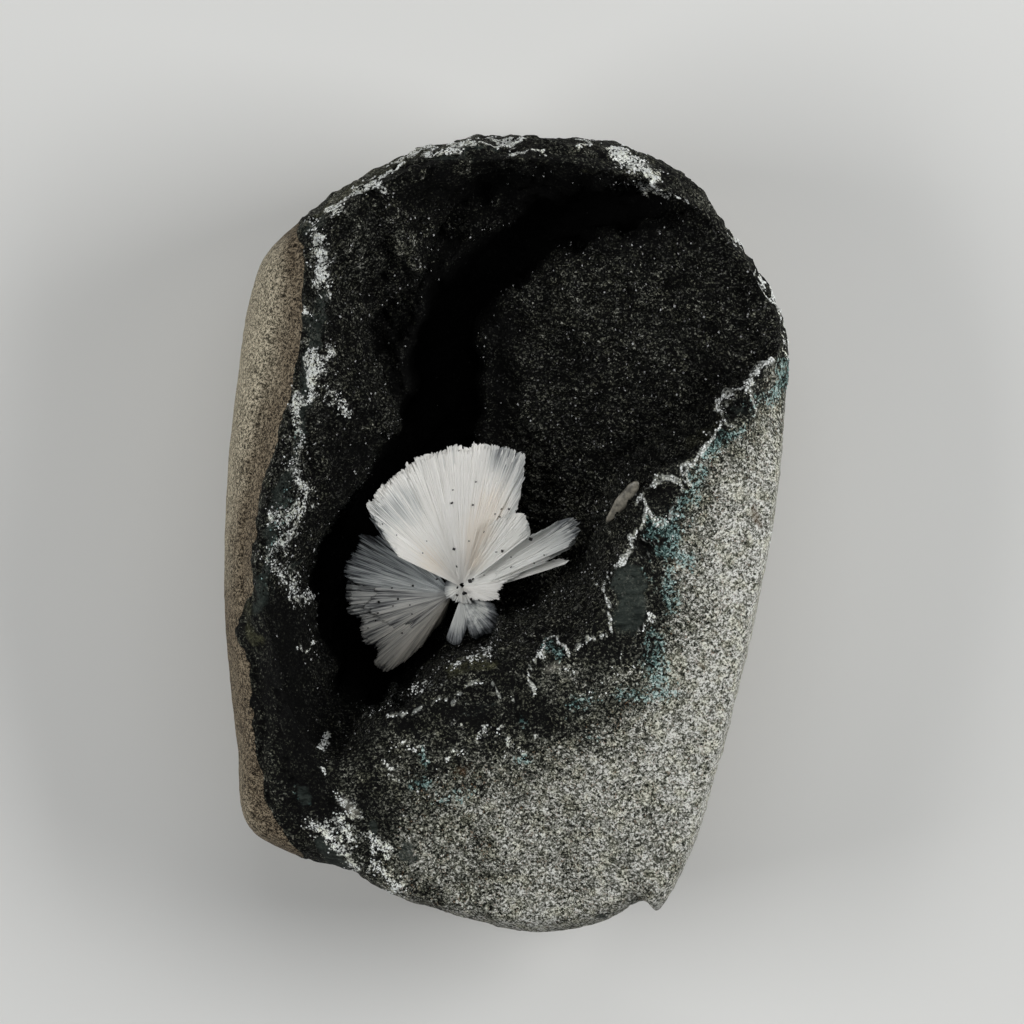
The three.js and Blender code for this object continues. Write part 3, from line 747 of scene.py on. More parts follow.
def make_rings(name, rings, rows, lip, fields, material, slot, node):
    """A closed piece through rings, which stand for rows of the grid, with a sharp seam on the
    ring at the lip."""
    points, faces = closed_rings(rings)
    seam = np.zeros(len(points), bool)
    seam[lip * COLUMNS : (lip + 1) * COLUMNS] = True
    made = {key: with_ends(f[rows]) for key, f in fields.items()}
    mesh = mesh_of(name, points, faces, made, seam)
    piece_of(name, mesh, material, slot, node)


def make_rock(high, normals, fields, material):
    """The stone: a hidden bowl under the crust, then the face, flank and resting flat."""
    kept = hidden_rows()
    bowl = sunk(high, normals, CRUST_THICKNESS + CRUST_GAP)
    rings = np.concatenate([bowl, high[HOLLOW_ROWS:]])
    rows = np.r_[kept, HOLLOW_ROWS : len(high)]
    lip = len(kept) - 1
    make_rings("basalt_cobble", rings, rows, lip, fields, material, "basalt", "basalt_matrix")


def make_crust(high, normals, fields, material):
    """The crust in the hollow: its rough upper side out to the lip, and its underside back in."""
    under = sunk(high, normals, CRUST_THICKNESS)[-2::-1]
    rings = np.concatenate([high[:HOLLOW_ROWS], under])
    rows = np.r_[0:HOLLOW_ROWS, hidden_rows()[-2::-1]]
    lip = HOLLOW_ROWS - 1
    make_rings("dark_crust", rings, rows, lip, fields, material, "dark_druse", "vug_lining")


# Stilbite blades

HUB = np.array([-5.3, -6.5, 22.9])
FOOT = np.array([-5.4, -7.6, 22.7])
SPRAY_ROOT = np.array([-8.0, -8.6, 22.1])
GREY_ROOT = np.array([-6.56, -7.4, 22.2])


@dataclass
class Fan:
    """A plate of blades grown together, or loose blades in the same place. reach is a list of
    (angle in degrees from +x, length), rise how far the tips stand over the root, lift how much
    the plate is crowned, ragged how much its blades differ in length and ribs in height. veil and
    warm are how glassy and how brownish it is, from 0 to 1. rise, veil and warm are pairs: at the
    first and at the last angle. laths is the number of loose blades on it, and inner the share of
    the length at which it begins."""

    root: np.ndarray
    reach: list
    rise: tuple
    blades: int
    thickness: float = 0.5
    lift: float = 0.0
    ragged: float = 0.03
    ribs: float = 0.12
    veil: tuple = (0, 0)
    warm: tuple = (0, 0)
    laths: int = 0
    inner: float = 0.03

    def __post_init__(self):
        self.reach = np.array(self.reach, float)
        self.low, self.high = self.reach[[0, -1], 0]

    def place(self, degrees, r, height):
        """The point at an angle and a radius, a height over the plane that the fan tilts in."""
        angle = np.radians(degrees)
        slope = self.between(self.rise, degrees) / self.length(degrees)
        x = self.root[0] + r * np.cos(angle)
        y = self.root[1] + r * np.sin(angle)
        return np.stack([x, y, self.root[2] + r * slope + height], -1)

    def length(self, degrees):
        return np.interp(degrees, self.reach[:, 0], self.reach[:, 1])

    def between(self, pair, degrees):
        """A value that goes evenly from one at the fan's first angle to one at its last."""
        return np.interp(degrees, (self.low, self.high), pair)

    def crown(self, share):
        """How far the plate's middle stands out of its plane, at a share of the length."""
        return self.lift * share * (1.7 - share)

    def half(self, share):
        """Half the plate's thickness at a share of the length."""
        return self.thickness / 2 * (0.55 + 0.45 * share)


def radial_noise(degrees, r, width, length, seed):
    """Noise stretched along the blades: cells width degrees wide and length millimetres long."""
    return noise(np.stack([degrees / width, r / length, 0 * r], -1), 1.0, seed)


# A plate's rows of points from root to tip, a blade's columns and how far each of them reaches, and
# how often a new run of like blades begins.
PLATE_ROWS = np.array(
    [0, 0.08, 0.16, 0.24, 0.32, 0.4, 0.48, 0.56, 0.64, 0.72, 0.8, 0.86, 0.91, 0.95, 0.98, 1.0]
)
BLADE_COLUMNS = np.array([0.0, 0.1, 0.5, 0.9, 1.0])
BLADE_TIP = np.array([0.993, 0.999, 1.0, 0.998, 0.994])
NEW_RUN = 0.22

# A loose blade's sections from root to tip, with their widths and heights, and the corners of each.
LATH_SECTIONS = np.array([0.0, 0.35, 0.7, 0.95, 1.0])
LATH_WIDTHS = np.array([0.3, 0.9, 1.0, 0.9, 0.35])
LATH_HEIGHTS = np.array([0.3, 1, 1, 0.8, 0.3])
LATH_CORNERS = np.array([(-1, 0), (-0.6, 1), (0.6, 1), (1, 0), (0.6, -1), (-0.6, -1)], float)
# Painted light on the loose blades: a negative relief shade, so that they are a little lighter.
LATH_RELIEF_SHADE = -0.09


def plate_faces(rows, columns):
    """Quads over and under a grid of points that is given twice, and round its four edges."""
    count = rows * columns
    i, j = np.mgrid[0 : rows - 1, 0 : columns - 1]
    a = (i * columns + j).ravel()
    upper = np.stack([a, a + columns, a + columns + 1, a + 1], -1)
    below = count + upper[:, ::-1]
    root = np.arange(columns - 1)
    roots = np.stack([root, root + 1, root + 1 + count, root + count], -1)
    tips = roots[:, [0, 3, 2, 1]] + (rows - 1) * columns
    side = np.arange(rows - 1) * columns
    right = np.stack([side, side + count, side + count + columns, side + columns], -1)
    left = right[:, ::-1] + columns - 1
    return np.concatenate([upper, below, tips, roots, right, left])


def plate(rng, fan):
    """A closed plate of blades side by side. Each blade is five columns of points with a width,
    length and height of its own, a groove to its neighbours and a blunt chisel tip, and runs of
    blades share a length, height and clearness. Broad and fine ribs run along the whole plate.
    Returns points, faces and numbers for each point."""
    count = fan.blades
    widths = 0.3 + rng.gamma(1.6, 1.0, count)
    edges = np.r_[0, np.cumsum(widths)] / widths.sum() * (fan.high - fan.low) + fan.low
    degrees = (edges[:-1, None] + BLADE_COLUMNS * np.diff(edges)[:, None]).ravel()
    owner = np.repeat(np.arange(count), len(BLADE_COLUMNS))
    group = np.cumsum(rng.random(count) < NEW_RUN)
    shorter = 0.15 * rng.random(count) ** 2 + 0.9 * rng.random(count)[group] ** 2
    shorter = 1 - fan.ragged * shorter
    lean = rng.uniform(-0.02, 0.02, count)[:, None] * (BLADE_COLUMNS - 0.5)
    length = fan.length(degrees) * (BLADE_TIP + lean).ravel() * shorter[owner]
    own_height = 0.2 * rng.normal(0, 1, count) + 0.35 * rng.normal(0, 1, count)[group]
    own_height = fan.ribs * own_height[owner]
    deep = fan.ribs * rng.random(count + 1) ** 2
    none = np.zeros(count)
    groove = [deep[:-1], 0.2 * deep[:-1], none, 0.2 * deep[1:], deep[1:]]
    groove = np.stack(groove, 1).ravel()
    s = (fan.inner + (1 - fan.inner) * PLATE_ROWS)[:, None]
    r = s * length
    wide = np.broadcast_to(degrees, r.shape)
    ribs = 0.9 * radial_noise(wide, r, 4.6, 9, 51) + 0.5 * radial_noise(wide, r, 1.3, 5, 52)
    ribs += 0.3 * radial_noise(wide, r, 0.6, 4, 53)
    relief = fan.ribs * ribs * s**0.8 + own_height * s - groove * s**0.6
    raised = relief + fan.crown(s)
    half = fan.half(s) * (1 - 0.7 * smoothstep(0.94, 1, s))
    top = fan.place(wide, r, raised + half)
    under = fan.place(wide, r, 0.4 * raised + 0.6 * fan.crown(s) - half)
    rows, columns = r.shape
    points = np.concatenate([top.reshape(-1, 3), under.reshape(-1, 3)])
    faces = plate_faces(rows, columns)
    tint = 0.5 * (rng.random(count) + rng.random(count)[group])[owner]
    clear = 0.3 * (rng.random(count)[group] ** 4)[owner] * smoothstep(0.25, 0.9, s)
    glassy, brownish = fan.between(fan.veil, wide) + clear, fan.between(fan.warm, wide)
    # The last number, the relief turned over, paints shade in the grooves and light on the raised
    # ribs.
    numbers = (s, wide, tint, glassy, brownish, -relief)
    return points, faces, [np.tile(np.broadcast_to(f, r.shape).ravel(), 2) for f in numbers]


def loose_laths(rng, fan):
    """Thin blades on top of a plate: flat six-sided prisms that widen from the root and end in a
    blunt chisel, as points (blade, section, corner)."""
    count = fan.laths
    degrees = rng.uniform(fan.low, fan.high, count)
    reach = fan.length(degrees) * 0.97
    inner = (fan.inner + (1 - fan.inner) * rng.uniform(0, 0.7, count)) * reach
    outer = inner + (reach - inner) * (1 - 0.6 * rng.random(count) ** 2)
    r = inner[:, None] + (outer - inner)[:, None] * LATH_SECTIONS
    share = r / reach[:, None]
    width = rng.uniform(0.04, 0.16, count)[:, None] * (0.35 + 0.65 * share) * LATH_WIDTHS
    thick = rng.uniform(0.03, 0.06, count)[:, None] * LATH_HEIGHTS
    base = fan.crown(share) + fan.half(share)
    base = base + rng.uniform(-0.02, 0.07, count)[:, None] * share
    bend = rng.normal(0, 0.5, count)[:, None] * LATH_SECTIONS
    turned = degrees[:, None, None] + bend[..., None] * 0.6
    turned = turned + np.degrees(width / np.maximum(r, 0.5))[..., None] * LATH_CORNERS[:, 0]
    height = base[..., None] + thick[..., None] * LATH_CORNERS[:, 1]
    across = turned.clip(fan.low, fan.high)
    points = fan.place(across, r[..., None] + 0 * turned, height)
    sections, corners = len(LATH_SECTIONS), len(LATH_CORNERS)
    start = np.arange(count)[:, None, None] * sections * corners
    i, j = np.mgrid[0 : sections - 1, 0:corners]
    a, b = i * corners + j, i * corners + (j + 1) % corners
    sides = start + np.stack([a, a + corners, b + corners, b], -1).reshape(1, -1, 4)
    cap = np.array([(0, 1, 2, 3), (0, 3, 4, 5)])
    caps = start + np.concatenate([cap, cap[:, ::-1] + (sections - 1) * corners])
    faces = np.concatenate([sides.reshape(-1, 4), caps.reshape(-1, 4)])
    shape = points.shape[:3]
    tint = rng.random(count)[:, None, None]
    glassy, brownish = fan.between(fan.veil, turned), fan.between(fan.warm, turned)
    numbers = (share[..., None], turned, tint, glassy, brownish, LATH_RELIEF_SHADE)
    return points.reshape(-1, 3), faces, [np.broadcast_to(f, shape).ravel() for f in numbers]


# Brownish and glassy spots on the blades: x, y and radius.
WARM_SPOTS = ((-3.3, 0.4, 2.6), (-3.9, -3.0, 1.9), (-1.8, 3.8, 2.4), (-9.0, -3.4, 2.0))
GLASSY_SPOTS = (
    (2.4, 7.4, 3.8), (0.2, 9.4, 3.0), (-12.2, 3.2, 3.4), (-15.2, 2.0, 3.0), (8.2, 1.2, 3.2),
)


def make_sheaf(name, rng, fans, material, slot, node):
    """All the plates and loose blades of several fans in one mesh."""
    parts = [plate(rng, fan) for fan in fans]
    parts += [loose_laths(rng, fan) for fan in fans if fan.laths]
    firsts = np.cumsum([0] + [len(part[0]) for part in parts])
    points = np.concatenate([part[0] for part in parts])
    faces = np.concatenate([part[1] + first for part, first in zip(parts, firsts)])
    names = ("along", "across", "tint", "veil", "warm", "blade_relief_shade")
    fields = {key: np.concatenate([part[2][i] for part in parts]) for i, key in enumerate(names)}
    spots = patches(points[:, 0], points[:, 1], WARM_SPOTS)
    fields["warm"] = np.maximum(fields["warm"], spots)
    glassy = patches(points[:, 0], points[:, 1], GLASSY_SPOTS) * (0.1 + 0.7 * fields["tint"])
    fields["veil"] = np.maximum(fields["veil"], glassy)
    mesh = mesh_of(name, points, [faces], fields)
    piece_of(name, mesh, material, slot, node)
    return points


WHITE_FANS = (
    Fan(HUB,
        [(63, 17.6), (64.5, 18.6), (74, 18.7), (83, 18.4), (85.6, 18.3), (86.4, 17.6), (93, 18.0),
         (99.5, 17.6), (111, 17.3), (122, 16.8), (133, 16.1), (139.6, 15.8), (141.6, 14.7),
         (144.5, 12.8), (148.5, 10.9), (151.5, 9.9), (154.5, 8.8)],
        (2.6, 5.0), 110, thickness=0.7, lift=0.3, ragged=0.05, ribs=0.055, laths=640),
    Fan(HUB + [0, 0, 0.1],
        [(98, 17.0), (111, 16.8), (122, 16.2), (136, 15.4)],
        (3.5, 4.6), 34, thickness=0.2, lift=0.32, ragged=0.1, ribs=0.05),
    Fan(HUB - [0, 0, 0.25],
        [(134, 15.4), (139, 16.1), (142.5, 15.0), (146, 12.6), (150, 11.2)],
        (4.6, 4.6), 16, thickness=0.4, ragged=0.16, ribs=0.15, veil=(0.45, 0.45), laths=40),
    Fan(HUB,
        [(54.5, 12.2), (56.6, 13.3), (59, 14.4), (61.4, 16.7), (64.5, 18.4)],
        (2.4, 2.6), 10, lift=0.15, ragged=0.05, veil=(0.15, 0.15), laths=30),
    Fan(HUB,
        [(14, 6.4), (22, 8.0), (29, 9.2), (34.7, 10.3), (42.8, 11.6), (50, 12.1), (55, 11.4),
         (60, 10.2), (66, 8.6)],
        (1.5, 2.3), 40, lift=0.75, ragged=0.015, ribs=0.04, laths=160),
    Fan(SPRAY_ROOT,
        [(24, 17.4), (25, 18.6), (26.6, 19.4), (28, 20.3), (31.4, 20.1), (33.6, 19.6), (34.9, 18.4),
         (35.8, 16.0), (37.5, 13.4)],
        (5.4, 5.8), 20, thickness=0.8, lift=0.3, ragged=0.07, ribs=0.2, veil=(0.3, 0.3),
        laths=150, inner=0.40),
    Fan(SPRAY_ROOT - [0, 0, 0.2],
        [(21.5, 13.2), (23.2, 17.6), (24.2, 19.3), (26.6, 19.0)],
        (4.4, 5.0), 12, thickness=0.6, lift=0.1, ragged=0.2, ribs=0.2, veil=(0.3, 0.3),
        laths=70, inner=0.44),
    Fan(SPRAY_ROOT - [0, 0, 0.2],
        [(17.6, 15.0), (18.4, 17.6), (20, 17.0), (21.6, 14.6), (24, 15.2)],
        (3.4, 4.2), 12, lift=0.2, ragged=0.3, ribs=0.2, laths=70, inner=0.56),
    Fan(HUB,
        [(4, 5.0), (9, 6.2), (13, 7.8), (17, 9.4), (23, 9.6)],
        (1.4, 2.6), 12, thickness=0.6, lift=0.35, ragged=0.24, ribs=0.18, laths=70),
    Fan(FOOT,
        [(250, 5.6), (253, 6.0), (260.5, 6.4), (268, 6.2), (272, 5.7), (276, 4.6), (285, 3.9)],
        (-0.3, 0.0), 7, thickness=0.45, ragged=0.1, ribs=0.08, veil=(0.85, 0.85),
        laths=8),
    Fan(FOOT,
        [(282, 5.2), (290, 6.0), (298, 5.6), (308.6, 6.0), (320.5, 6.1), (334, 5.2), (346, 4.3),
         (352, 3.6)],
        (-0.2, 0.3), 24, thickness=0.45, lift=0.1, ragged=0.24, ribs=0.14, veil=(1.1, 1.1),
        laths=10),
    Fan(HUB + [0, 0, 0.1],
        [(303, 1.7), (323, 2.7), (337, 4.3), (344.4, 5.4), (351.5, 4.6), (361.3, 5.4), (370, 4.9)],
        (0.5, 1.2), 34, thickness=0.7, lift=0.5, ragged=0.4, ribs=0.25, laths=190),
    Fan(HUB,
        [(150, 2.0), (180, 2.3), (215, 2.5), (240, 2.3), (262, 2.0), (290, 2.5), (312, 2.8)],
        (-0.2, 0.1), 30, thickness=0.6, lift=0.1, ragged=0.35, ribs=0.16, veil=(0.5, 0.2)),
)
GREY_FANS = (
    Fan(GREY_ROOT,
        [(166, 11.6), (171.4, 13.4), (180, 13.4), (190.4, 13.4), (192.5, 12.4), (197, 12.4),
         (201.2, 12.8), (205, 12.9), (210.5, 12.5), (213.2, 11.8), (218.4, 12.4), (221.4, 13.1),
         (229.9, 13.1), (233.3, 11.3), (236.8, 9.4), (239.5, 8.1), (242, 5.6), (247, 4.4),
         (253, 2.7)],
        (-1.8, -3.2), 90, thickness=0.35, lift=-0.1, ragged=0.06, ribs=0.14, veil=(0.55, 0),
        warm=(0.5, 1), laths=700),
    Fan(GREY_ROOT + [0, 0, 0.15],
        [(124, 6.5), (132, 9.5), (141, 12.0), (144, 12.6), (146.4, 14.0), (152.5, 13.7),
         (158, 13.6), (162, 14.1), (168.7, 13.9), (172, 13.4), (175, 11.8)],
        (-0.7, -1.6), 64, thickness=0.3, ragged=0.1, ribs=0.16, veil=(1, 0.6),
        warm=(0, 0.45), laths=420),
    Fan(GREY_ROOT + [0, 0, 0.2],
        [(158, 8.6), (165, 9.6), (180, 10.4), (190, 11.3), (205, 10.0), (222, 9.4)],
        (-1.2, -2.4), 50, thickness=0.25, lift=0.1, ragged=0.34, veil=(0.3, 0.1),
        warm=(0.3, 0.8)),
)

# Black specks on the blades: x, y and size.
SPECKS = np.column_stack([
    from_photo(
        (470, 581), (473, 579), (464, 593), (466, 593), (457.5, 587.5), (457, 595), (471, 599),
        (479, 600), (437, 579), (454, 549), (452, 503), (473, 505), (502, 551), (511, 567),
        (496, 552), (511, 557), (509, 509), (501.6, 509), (516, 511), (500, 517), (495, 514),
        (476, 482), (530.6, 539), (544, 555), (534, 563), (456.5, 566), (469, 541), (484, 532),
        (413, 585.6), (398, 599), (379, 602), (378, 613), (361, 618), (375.6, 620.6), (393, 606),
        (410, 605), (412, 614), (402, 633), (367, 639), (368, 628), (392, 588), (383, 524),
        (397, 535), (427, 541), (423, 553), (453, 490), (459, 451), (457, 567), (484, 575),
    ),
    [0.55, 0.36, 0.46, 0.34, 0.3, 0.3, 0.3, 0.26, 0.28, 0.36, 0.36, 0.26, 0.32, 0.24,
     0.18, 0.18, 0.3, 0.22, 0.2, 0.22, 0.18, 0.2, 0.5, 0.2, 0.22, 0.18, 0.18, 0.2,
     0.28, 0.3, 0.34, 0.24, 0.26, 0.22, 0.2, 0.2, 0.2, 0.2, 0.2, 0.18, 0.2, 0.22,
     0.16, 0.16, 0.16, 0.16, 0.18, 0.16, 0.16],
])


# Shader maths


def operators(operation):
    """The methods for an operator with the value on its left and on its right."""

    def forwards(self, other):
        return self.math(operation, self, other)

    def backwards(self, other):
        return self.math(operation, other, self)

    return forwards, backwards


class Value:
    """A shader socket that takes part in expressions, each of which adds a Math node."""

    def __init__(self, shader, socket):
        self.shader = shader
        self.socket = socket

    def math(self, operation, *inputs):
        return self.shader.node("Math", {"operation": operation}, dict(enumerate(inputs)))

    __add__, __radd__ = operators("ADD")
    __sub__, __rsub__ = operators("SUBTRACT")
    __mul__, __rmul__ = operators("MULTIPLY")

    def larger(self, other):
        return self.math("MAXIMUM", self, other)

    def step(self, low, high):
        """Rises smoothly from 0 at low to 1 at high."""
        return self.shader.node(
            "MapRange",
            {"interpolation_type": "SMOOTHSTEP"},
            {"Value": self, "From Min": low, "From Max": high},
        )


class Shader:
    """A material under construction."""

    def __init__(self, name):
        self.material = bpy.data.materials.new(name)
        self.material.use_nodes = True
        self.tree = self.material.node_tree
        self.tree.nodes.clear()
        self.place = self.node("TexCoord", output="Object")

    def node(self, kind, settings=None, inputs=None, output=0):
        """Adds a node of that kind, sets its settings, then gives its sockets numbers or links."""
        made = self.tree.nodes.new("ShaderNode" + kind)
        for key, value in (settings or {}).items():
            setattr(made, key, value)
        for key, value in (inputs or {}).items():
            if isinstance(value, Value):
                self.tree.links.new(value.socket, made.inputs[key])
            else:
                made.inputs[key].default_value = value
        return Value(self, made.outputs[output]) if made.outputs else None

    def field(self, name):
        return self.node("Attribute", {"attribute_name": name}, output="Fac")

    def noise(self, per_mm, detail=3.0, roughness=0.55, vector=None):
        inputs = {"Scale": per_mm / MM, "Detail": detail, "Roughness": roughness}
        inputs["Vector"] = vector or self.place
        return self.node("TexNoise", {}, inputs)

    def cell_tone(self, per_mm, vector=None):
        """One random grey for each cell."""
        inputs = {"Scale": per_mm / MM, "Vector": vector or self.place}
        cells = self.node("TexVoronoi", {}, inputs, output="Color")
        return self.node("SeparateColor", {}, {"Color": cells})

    def stretched(self, vector, factors):
        return self.node("VectorMath", {"operation": "MULTIPLY"}, {0: vector, 1: factors})

    def ramp(self, value, stops):
        """A ramp of colours. Each stop is a place and a display colour."""
        made = self.node("ValToRGB", {}, {"Fac": value})
        elements = made.socket.node.color_ramp.elements
        for place, *_ in stops[2:]:
            elements.new(place)
        for element, (place, *tone) in zip(elements, stops):
            element.position = place
            element.color = colour(*tone)
        return made

    def mix(self, factor, below, above, how="MIX"):
        settings = {"data_type": "RGBA", "blend_type": how}
        inputs = {0: factor, 6: below, 7: above}
        return self.node("Mix", settings, inputs, output=2)

    def tinted(self, factor, below, tint):
        """The colour below, as seen through a tinted glass."""
        return self.mix(factor, below, self.mix(1.0, below, tint, "MULTIPLY"))

    def bump(self, height, strength, distance_mm):
        inputs = {"Height": height, "Strength": strength, "Distance": distance_mm * MM}
        return self.node("Bump", {}, inputs)

    def finish(self, **inputs):
        """The surface shader and the output. Underscores in names stand for spaces."""
        named = {key.replace("_", " "): value for key, value in inputs.items()}
        surface = self.node("BsdfPrincipled", {}, named)
        self.node("OutputMaterial", {}, {"Surface": surface})
        return self.material


def colour(red, green, blue):
    """A display colour as the linear one that shaders use."""
    tone = (red, green, blue)
    linear = [((c + 0.055) / 1.055) ** 2.4 if c > 0.04 else c / 12.92 for c in tone]
    return (*linear, 1.0)


# Colours of the stone and the crust, as displayed: a ramp's stops are a place and a colour.
GREY_RAMP = (
    (0.0, 0.01, 0.01, 0.01),
    (0.18, 0.045, 0.047, 0.04),
    (0.34, 0.14, 0.145, 0.125),
    (0.52, 0.32, 0.325, 0.29),
    (0.70, 0.51, 0.51, 0.475),
    (0.86, 0.70, 0.70, 0.67),
    (1.0, 0.86, 0.86, 0.84),
)
VEIN_RAMP = ((0.2, 0.5, 0.52, 0.5), (0.7, 0.88, 0.89, 0.87))
WORN_RAMP = ((0.2, 0.22, 0.205, 0.17), (0.5, 0.53, 0.50, 0.425), (0.8, 0.80, 0.76, 0.67))
RAW_RAMP = ((0.2, 0.11, 0.092, 0.07), (0.5, 0.33, 0.29, 0.235), (0.8, 0.56, 0.51, 0.43))
TEAL_RAMP = ((0.1, 0.10, 0.17, 0.165), (0.45, 0.35, 0.48, 0.47), (0.8, 0.70, 0.81, 0.80))
WAX_RAMP = ((0.3, 0.06, 0.085, 0.077), (0.7, 0.24, 0.267, 0.25))
MOSS_RAMP = ((0.3, 0.12, 0.12, 0.08), (0.8, 0.38, 0.38, 0.28))
WHITE_CRUST = colour(0.97, 0.98, 0.96)
BROWN_FLECK = colour(0.42, 0.27, 0.13)
RUST = colour(0.27, 0.19, 0.10)
GLAZE = colour(0.60, 0.59, 0.55)
OLIVE_FILTER = (0.97, 0.955, 0.78, 1)

# How far each kind of ground, and the painted shade (deep, shade) and the painted rim highlight
# (ring), shift the grain tone along the grey ramp.
LIGHT_SHIFTS = {
    "light": 0.6, "pale": 0.02, "dark": -0.3, "hollow": -0.09, "deep": -0.6, "shade": -0.3,
    "ring": 0.5,
}

# Patches over the grey: how torn the edge is, where it begins and is full, and the strength.
PATCHES = {
    "brown": (0.3, 0.4, 0.6, 1.0),
    "wax": (0.4, 0.45, 0.7, 0.8),
    "rusty": (0.4, 0.35, 0.8, 0.65),
    "glaze": (0.2, 0.2, 0.9, 0.55),
    "olive": (0.3, 0.3, 0.8, 0.6),
}


def stone_colour(shader):
    """The colours that the stone and the crust share. One grain tone runs through a ramp from black
    through grey to white, and what lies on the ground shifts it along the ramp, as do painted shade
    (the shade bands, low in the hollow, beside the trench and in the relief's dips) and painted light
    (on the relief's crests and the domes' rims). The brown skin, the teal stain and the waxy, rusty,
    glazed and mossy patches lie over it."""
    field = shader.field
    warp = {"Vector": shader.place, "Scale": 1.6 / MM}
    warp = shader.node("TexNoise", {}, warp, output="Color")
    bend = {0: warp, 1: (0.5 * MM, 0.5 * MM, 0.5 * MM), 2: shader.place}
    bent = shader.node("VectorMath", {"operation": "MULTIPLY_ADD"}, bend)
    coarse = shader.cell_tone(3.4, bent)
    fine = shader.cell_tone(6.4, bent)
    speck = shader.noise(3.8, 4.0, 0.7)
    tone = coarse * 0.3 + fine * 0.32 + speck * 0.7 - 0.16
    cloud = shader.noise(0.3, 3.0) - 0.5
    clumps = shader.noise(1.5, 3.0, 0.65)
    torn = clumps - 0.5
    smear = shader.noise(1.0, 3.0, 0.6, shader.stretched(bent, (0.25, 2.2, 2.2)))
    ripple = shader.noise(1.0, 2.0, 0.5, shader.stretched(bent, (0.6, 2.4, 2.4)))

    white = (field("white") * 1.25 + torn * 2.4 - 0.36).step(0.1, 0.6)
    vein = (field("vein") * 1.45 + torn * 1.4).step(0.42, 0.85)
    light = (tone - 0.5) * (field("hollow") * 0.4 + 1.7) + 0.16
    light = light + cloud * 0.4 + torn * 0.2 + white * 0.3 + vein * 0.3
    light = light - clumps.step(0.56, 0.68) * field("pale") * 0.16
    # Painted light on the relief's crests and painted shade in its dips, less of it on the pale face.
    light = light + field("relief_shading") * (1 - field("pale") * 0.6) * 0.16
    light = light + (smear - 0.5) * field("hollow") * 0.45
    for name, shift in LIGHT_SHIFTS.items():
        light = light + field(name) * shift

    ground = shader.ramp(light, GREY_RAMP)
    ground = shader.mix(vein * 0.35, ground, shader.ramp(tone, VEIN_RAMP))
    ground = shader.mix(white * tone.step(0.40, 0.56) * 0.95, ground, WHITE_CRUST)
    wide = shader.noise(0.55, 2.0).step(0.42, 0.68)
    ground = shader.tinted(wide * 0.5, ground, OLIVE_FILTER)
    fleck = fine.step(0.965, 0.975) * field("light").step(0.2, 0.5)
    ground = shader.mix(fleck * 0.5, ground, BROWN_FLECK)

    skin = fine * 0.4 + shader.cell_tone(7.0, bent) * 0.35 + speck * 0.4 + ripple * 0.9 - 0.52
    skin = (skin - 0.5) * 1.35 + 0.5 + cloud * 0.2
    raw, worn = shader.ramp(skin, RAW_RAMP), shader.ramp(skin, WORN_RAMP)
    skin = shader.mix((field("worn") + cloud * 0.5).step(0.0, 1.0), raw, worn)
    teal = (field("teal") + torn * 1.4 + (coarse - 0.5) * 0.8).step(0.6, 0.95)
    whiteness = white.larger(vein)

    patch = {}
    for name, (tear, begin, full, strength) in PATCHES.items():
        patch[name] = (field(name) + torn * tear).step(begin, full) * strength
    for factor, over in (
        (patch["brown"], skin),
        (teal * 0.62, shader.ramp(light, TEAL_RAMP)),
        (patch["wax"] * (1 - whiteness), shader.ramp(smear, WAX_RAMP)),
        (patch["rusty"], RUST),
        (patch["glaze"], GLAZE),
        (patch["olive"], shader.ramp(tone, MOSS_RAMP)),
    ):
        ground = shader.mix(factor, ground, over)
    return ground, speck, whiteness


def stone_material():
    """Basalt: speckled, matt, with grain in relief."""
    shader = Shader("basalt")
    base, speck, white = stone_colour(shader)
    normal = shader.bump(shader.noise(6.0, 3.0, 0.7) + speck, 0.6, 0.16)
    return shader.finish(
        Base_Color=base, Roughness=0.86 - white * 0.25, Normal=normal, Specular_IOR_Level=0.12
    )


def crust_material():
    """The hollow's dark crust of small crystals: nearly black, matt, with glints, partly painted: grey
    specks in its colour stand for glints, and it is less rough there.
    """
    shader = Shader("dark_crust")
    base, speck, white = stone_colour(shader)
    # Painted glints: grey specks in the colour, fewer in the painted shade low in the hollow and in
    # the shade bands. The roughness also drops on them.
    painted_glint = shader.cell_tone(5.5).step(0.86, 0.95) * shader.noise(0.9).step(0.36, 0.6)
    painted_glint = painted_glint * (1 - shader.field("deep") * 0.9) * (1 - shader.field("shade") * 0.9)
    base = shader.mix(painted_glint * 0.5, base, colour(0.40, 0.40, 0.38))
    normal = shader.bump(shader.noise(4.5, 4.0, 0.75) + speck, 0.9, 0.24)
    return shader.finish(
        Base_Color=base, Roughness=0.82 - painted_glint * 0.5, Normal=normal, Specular_IOR_Level=0.1
    )


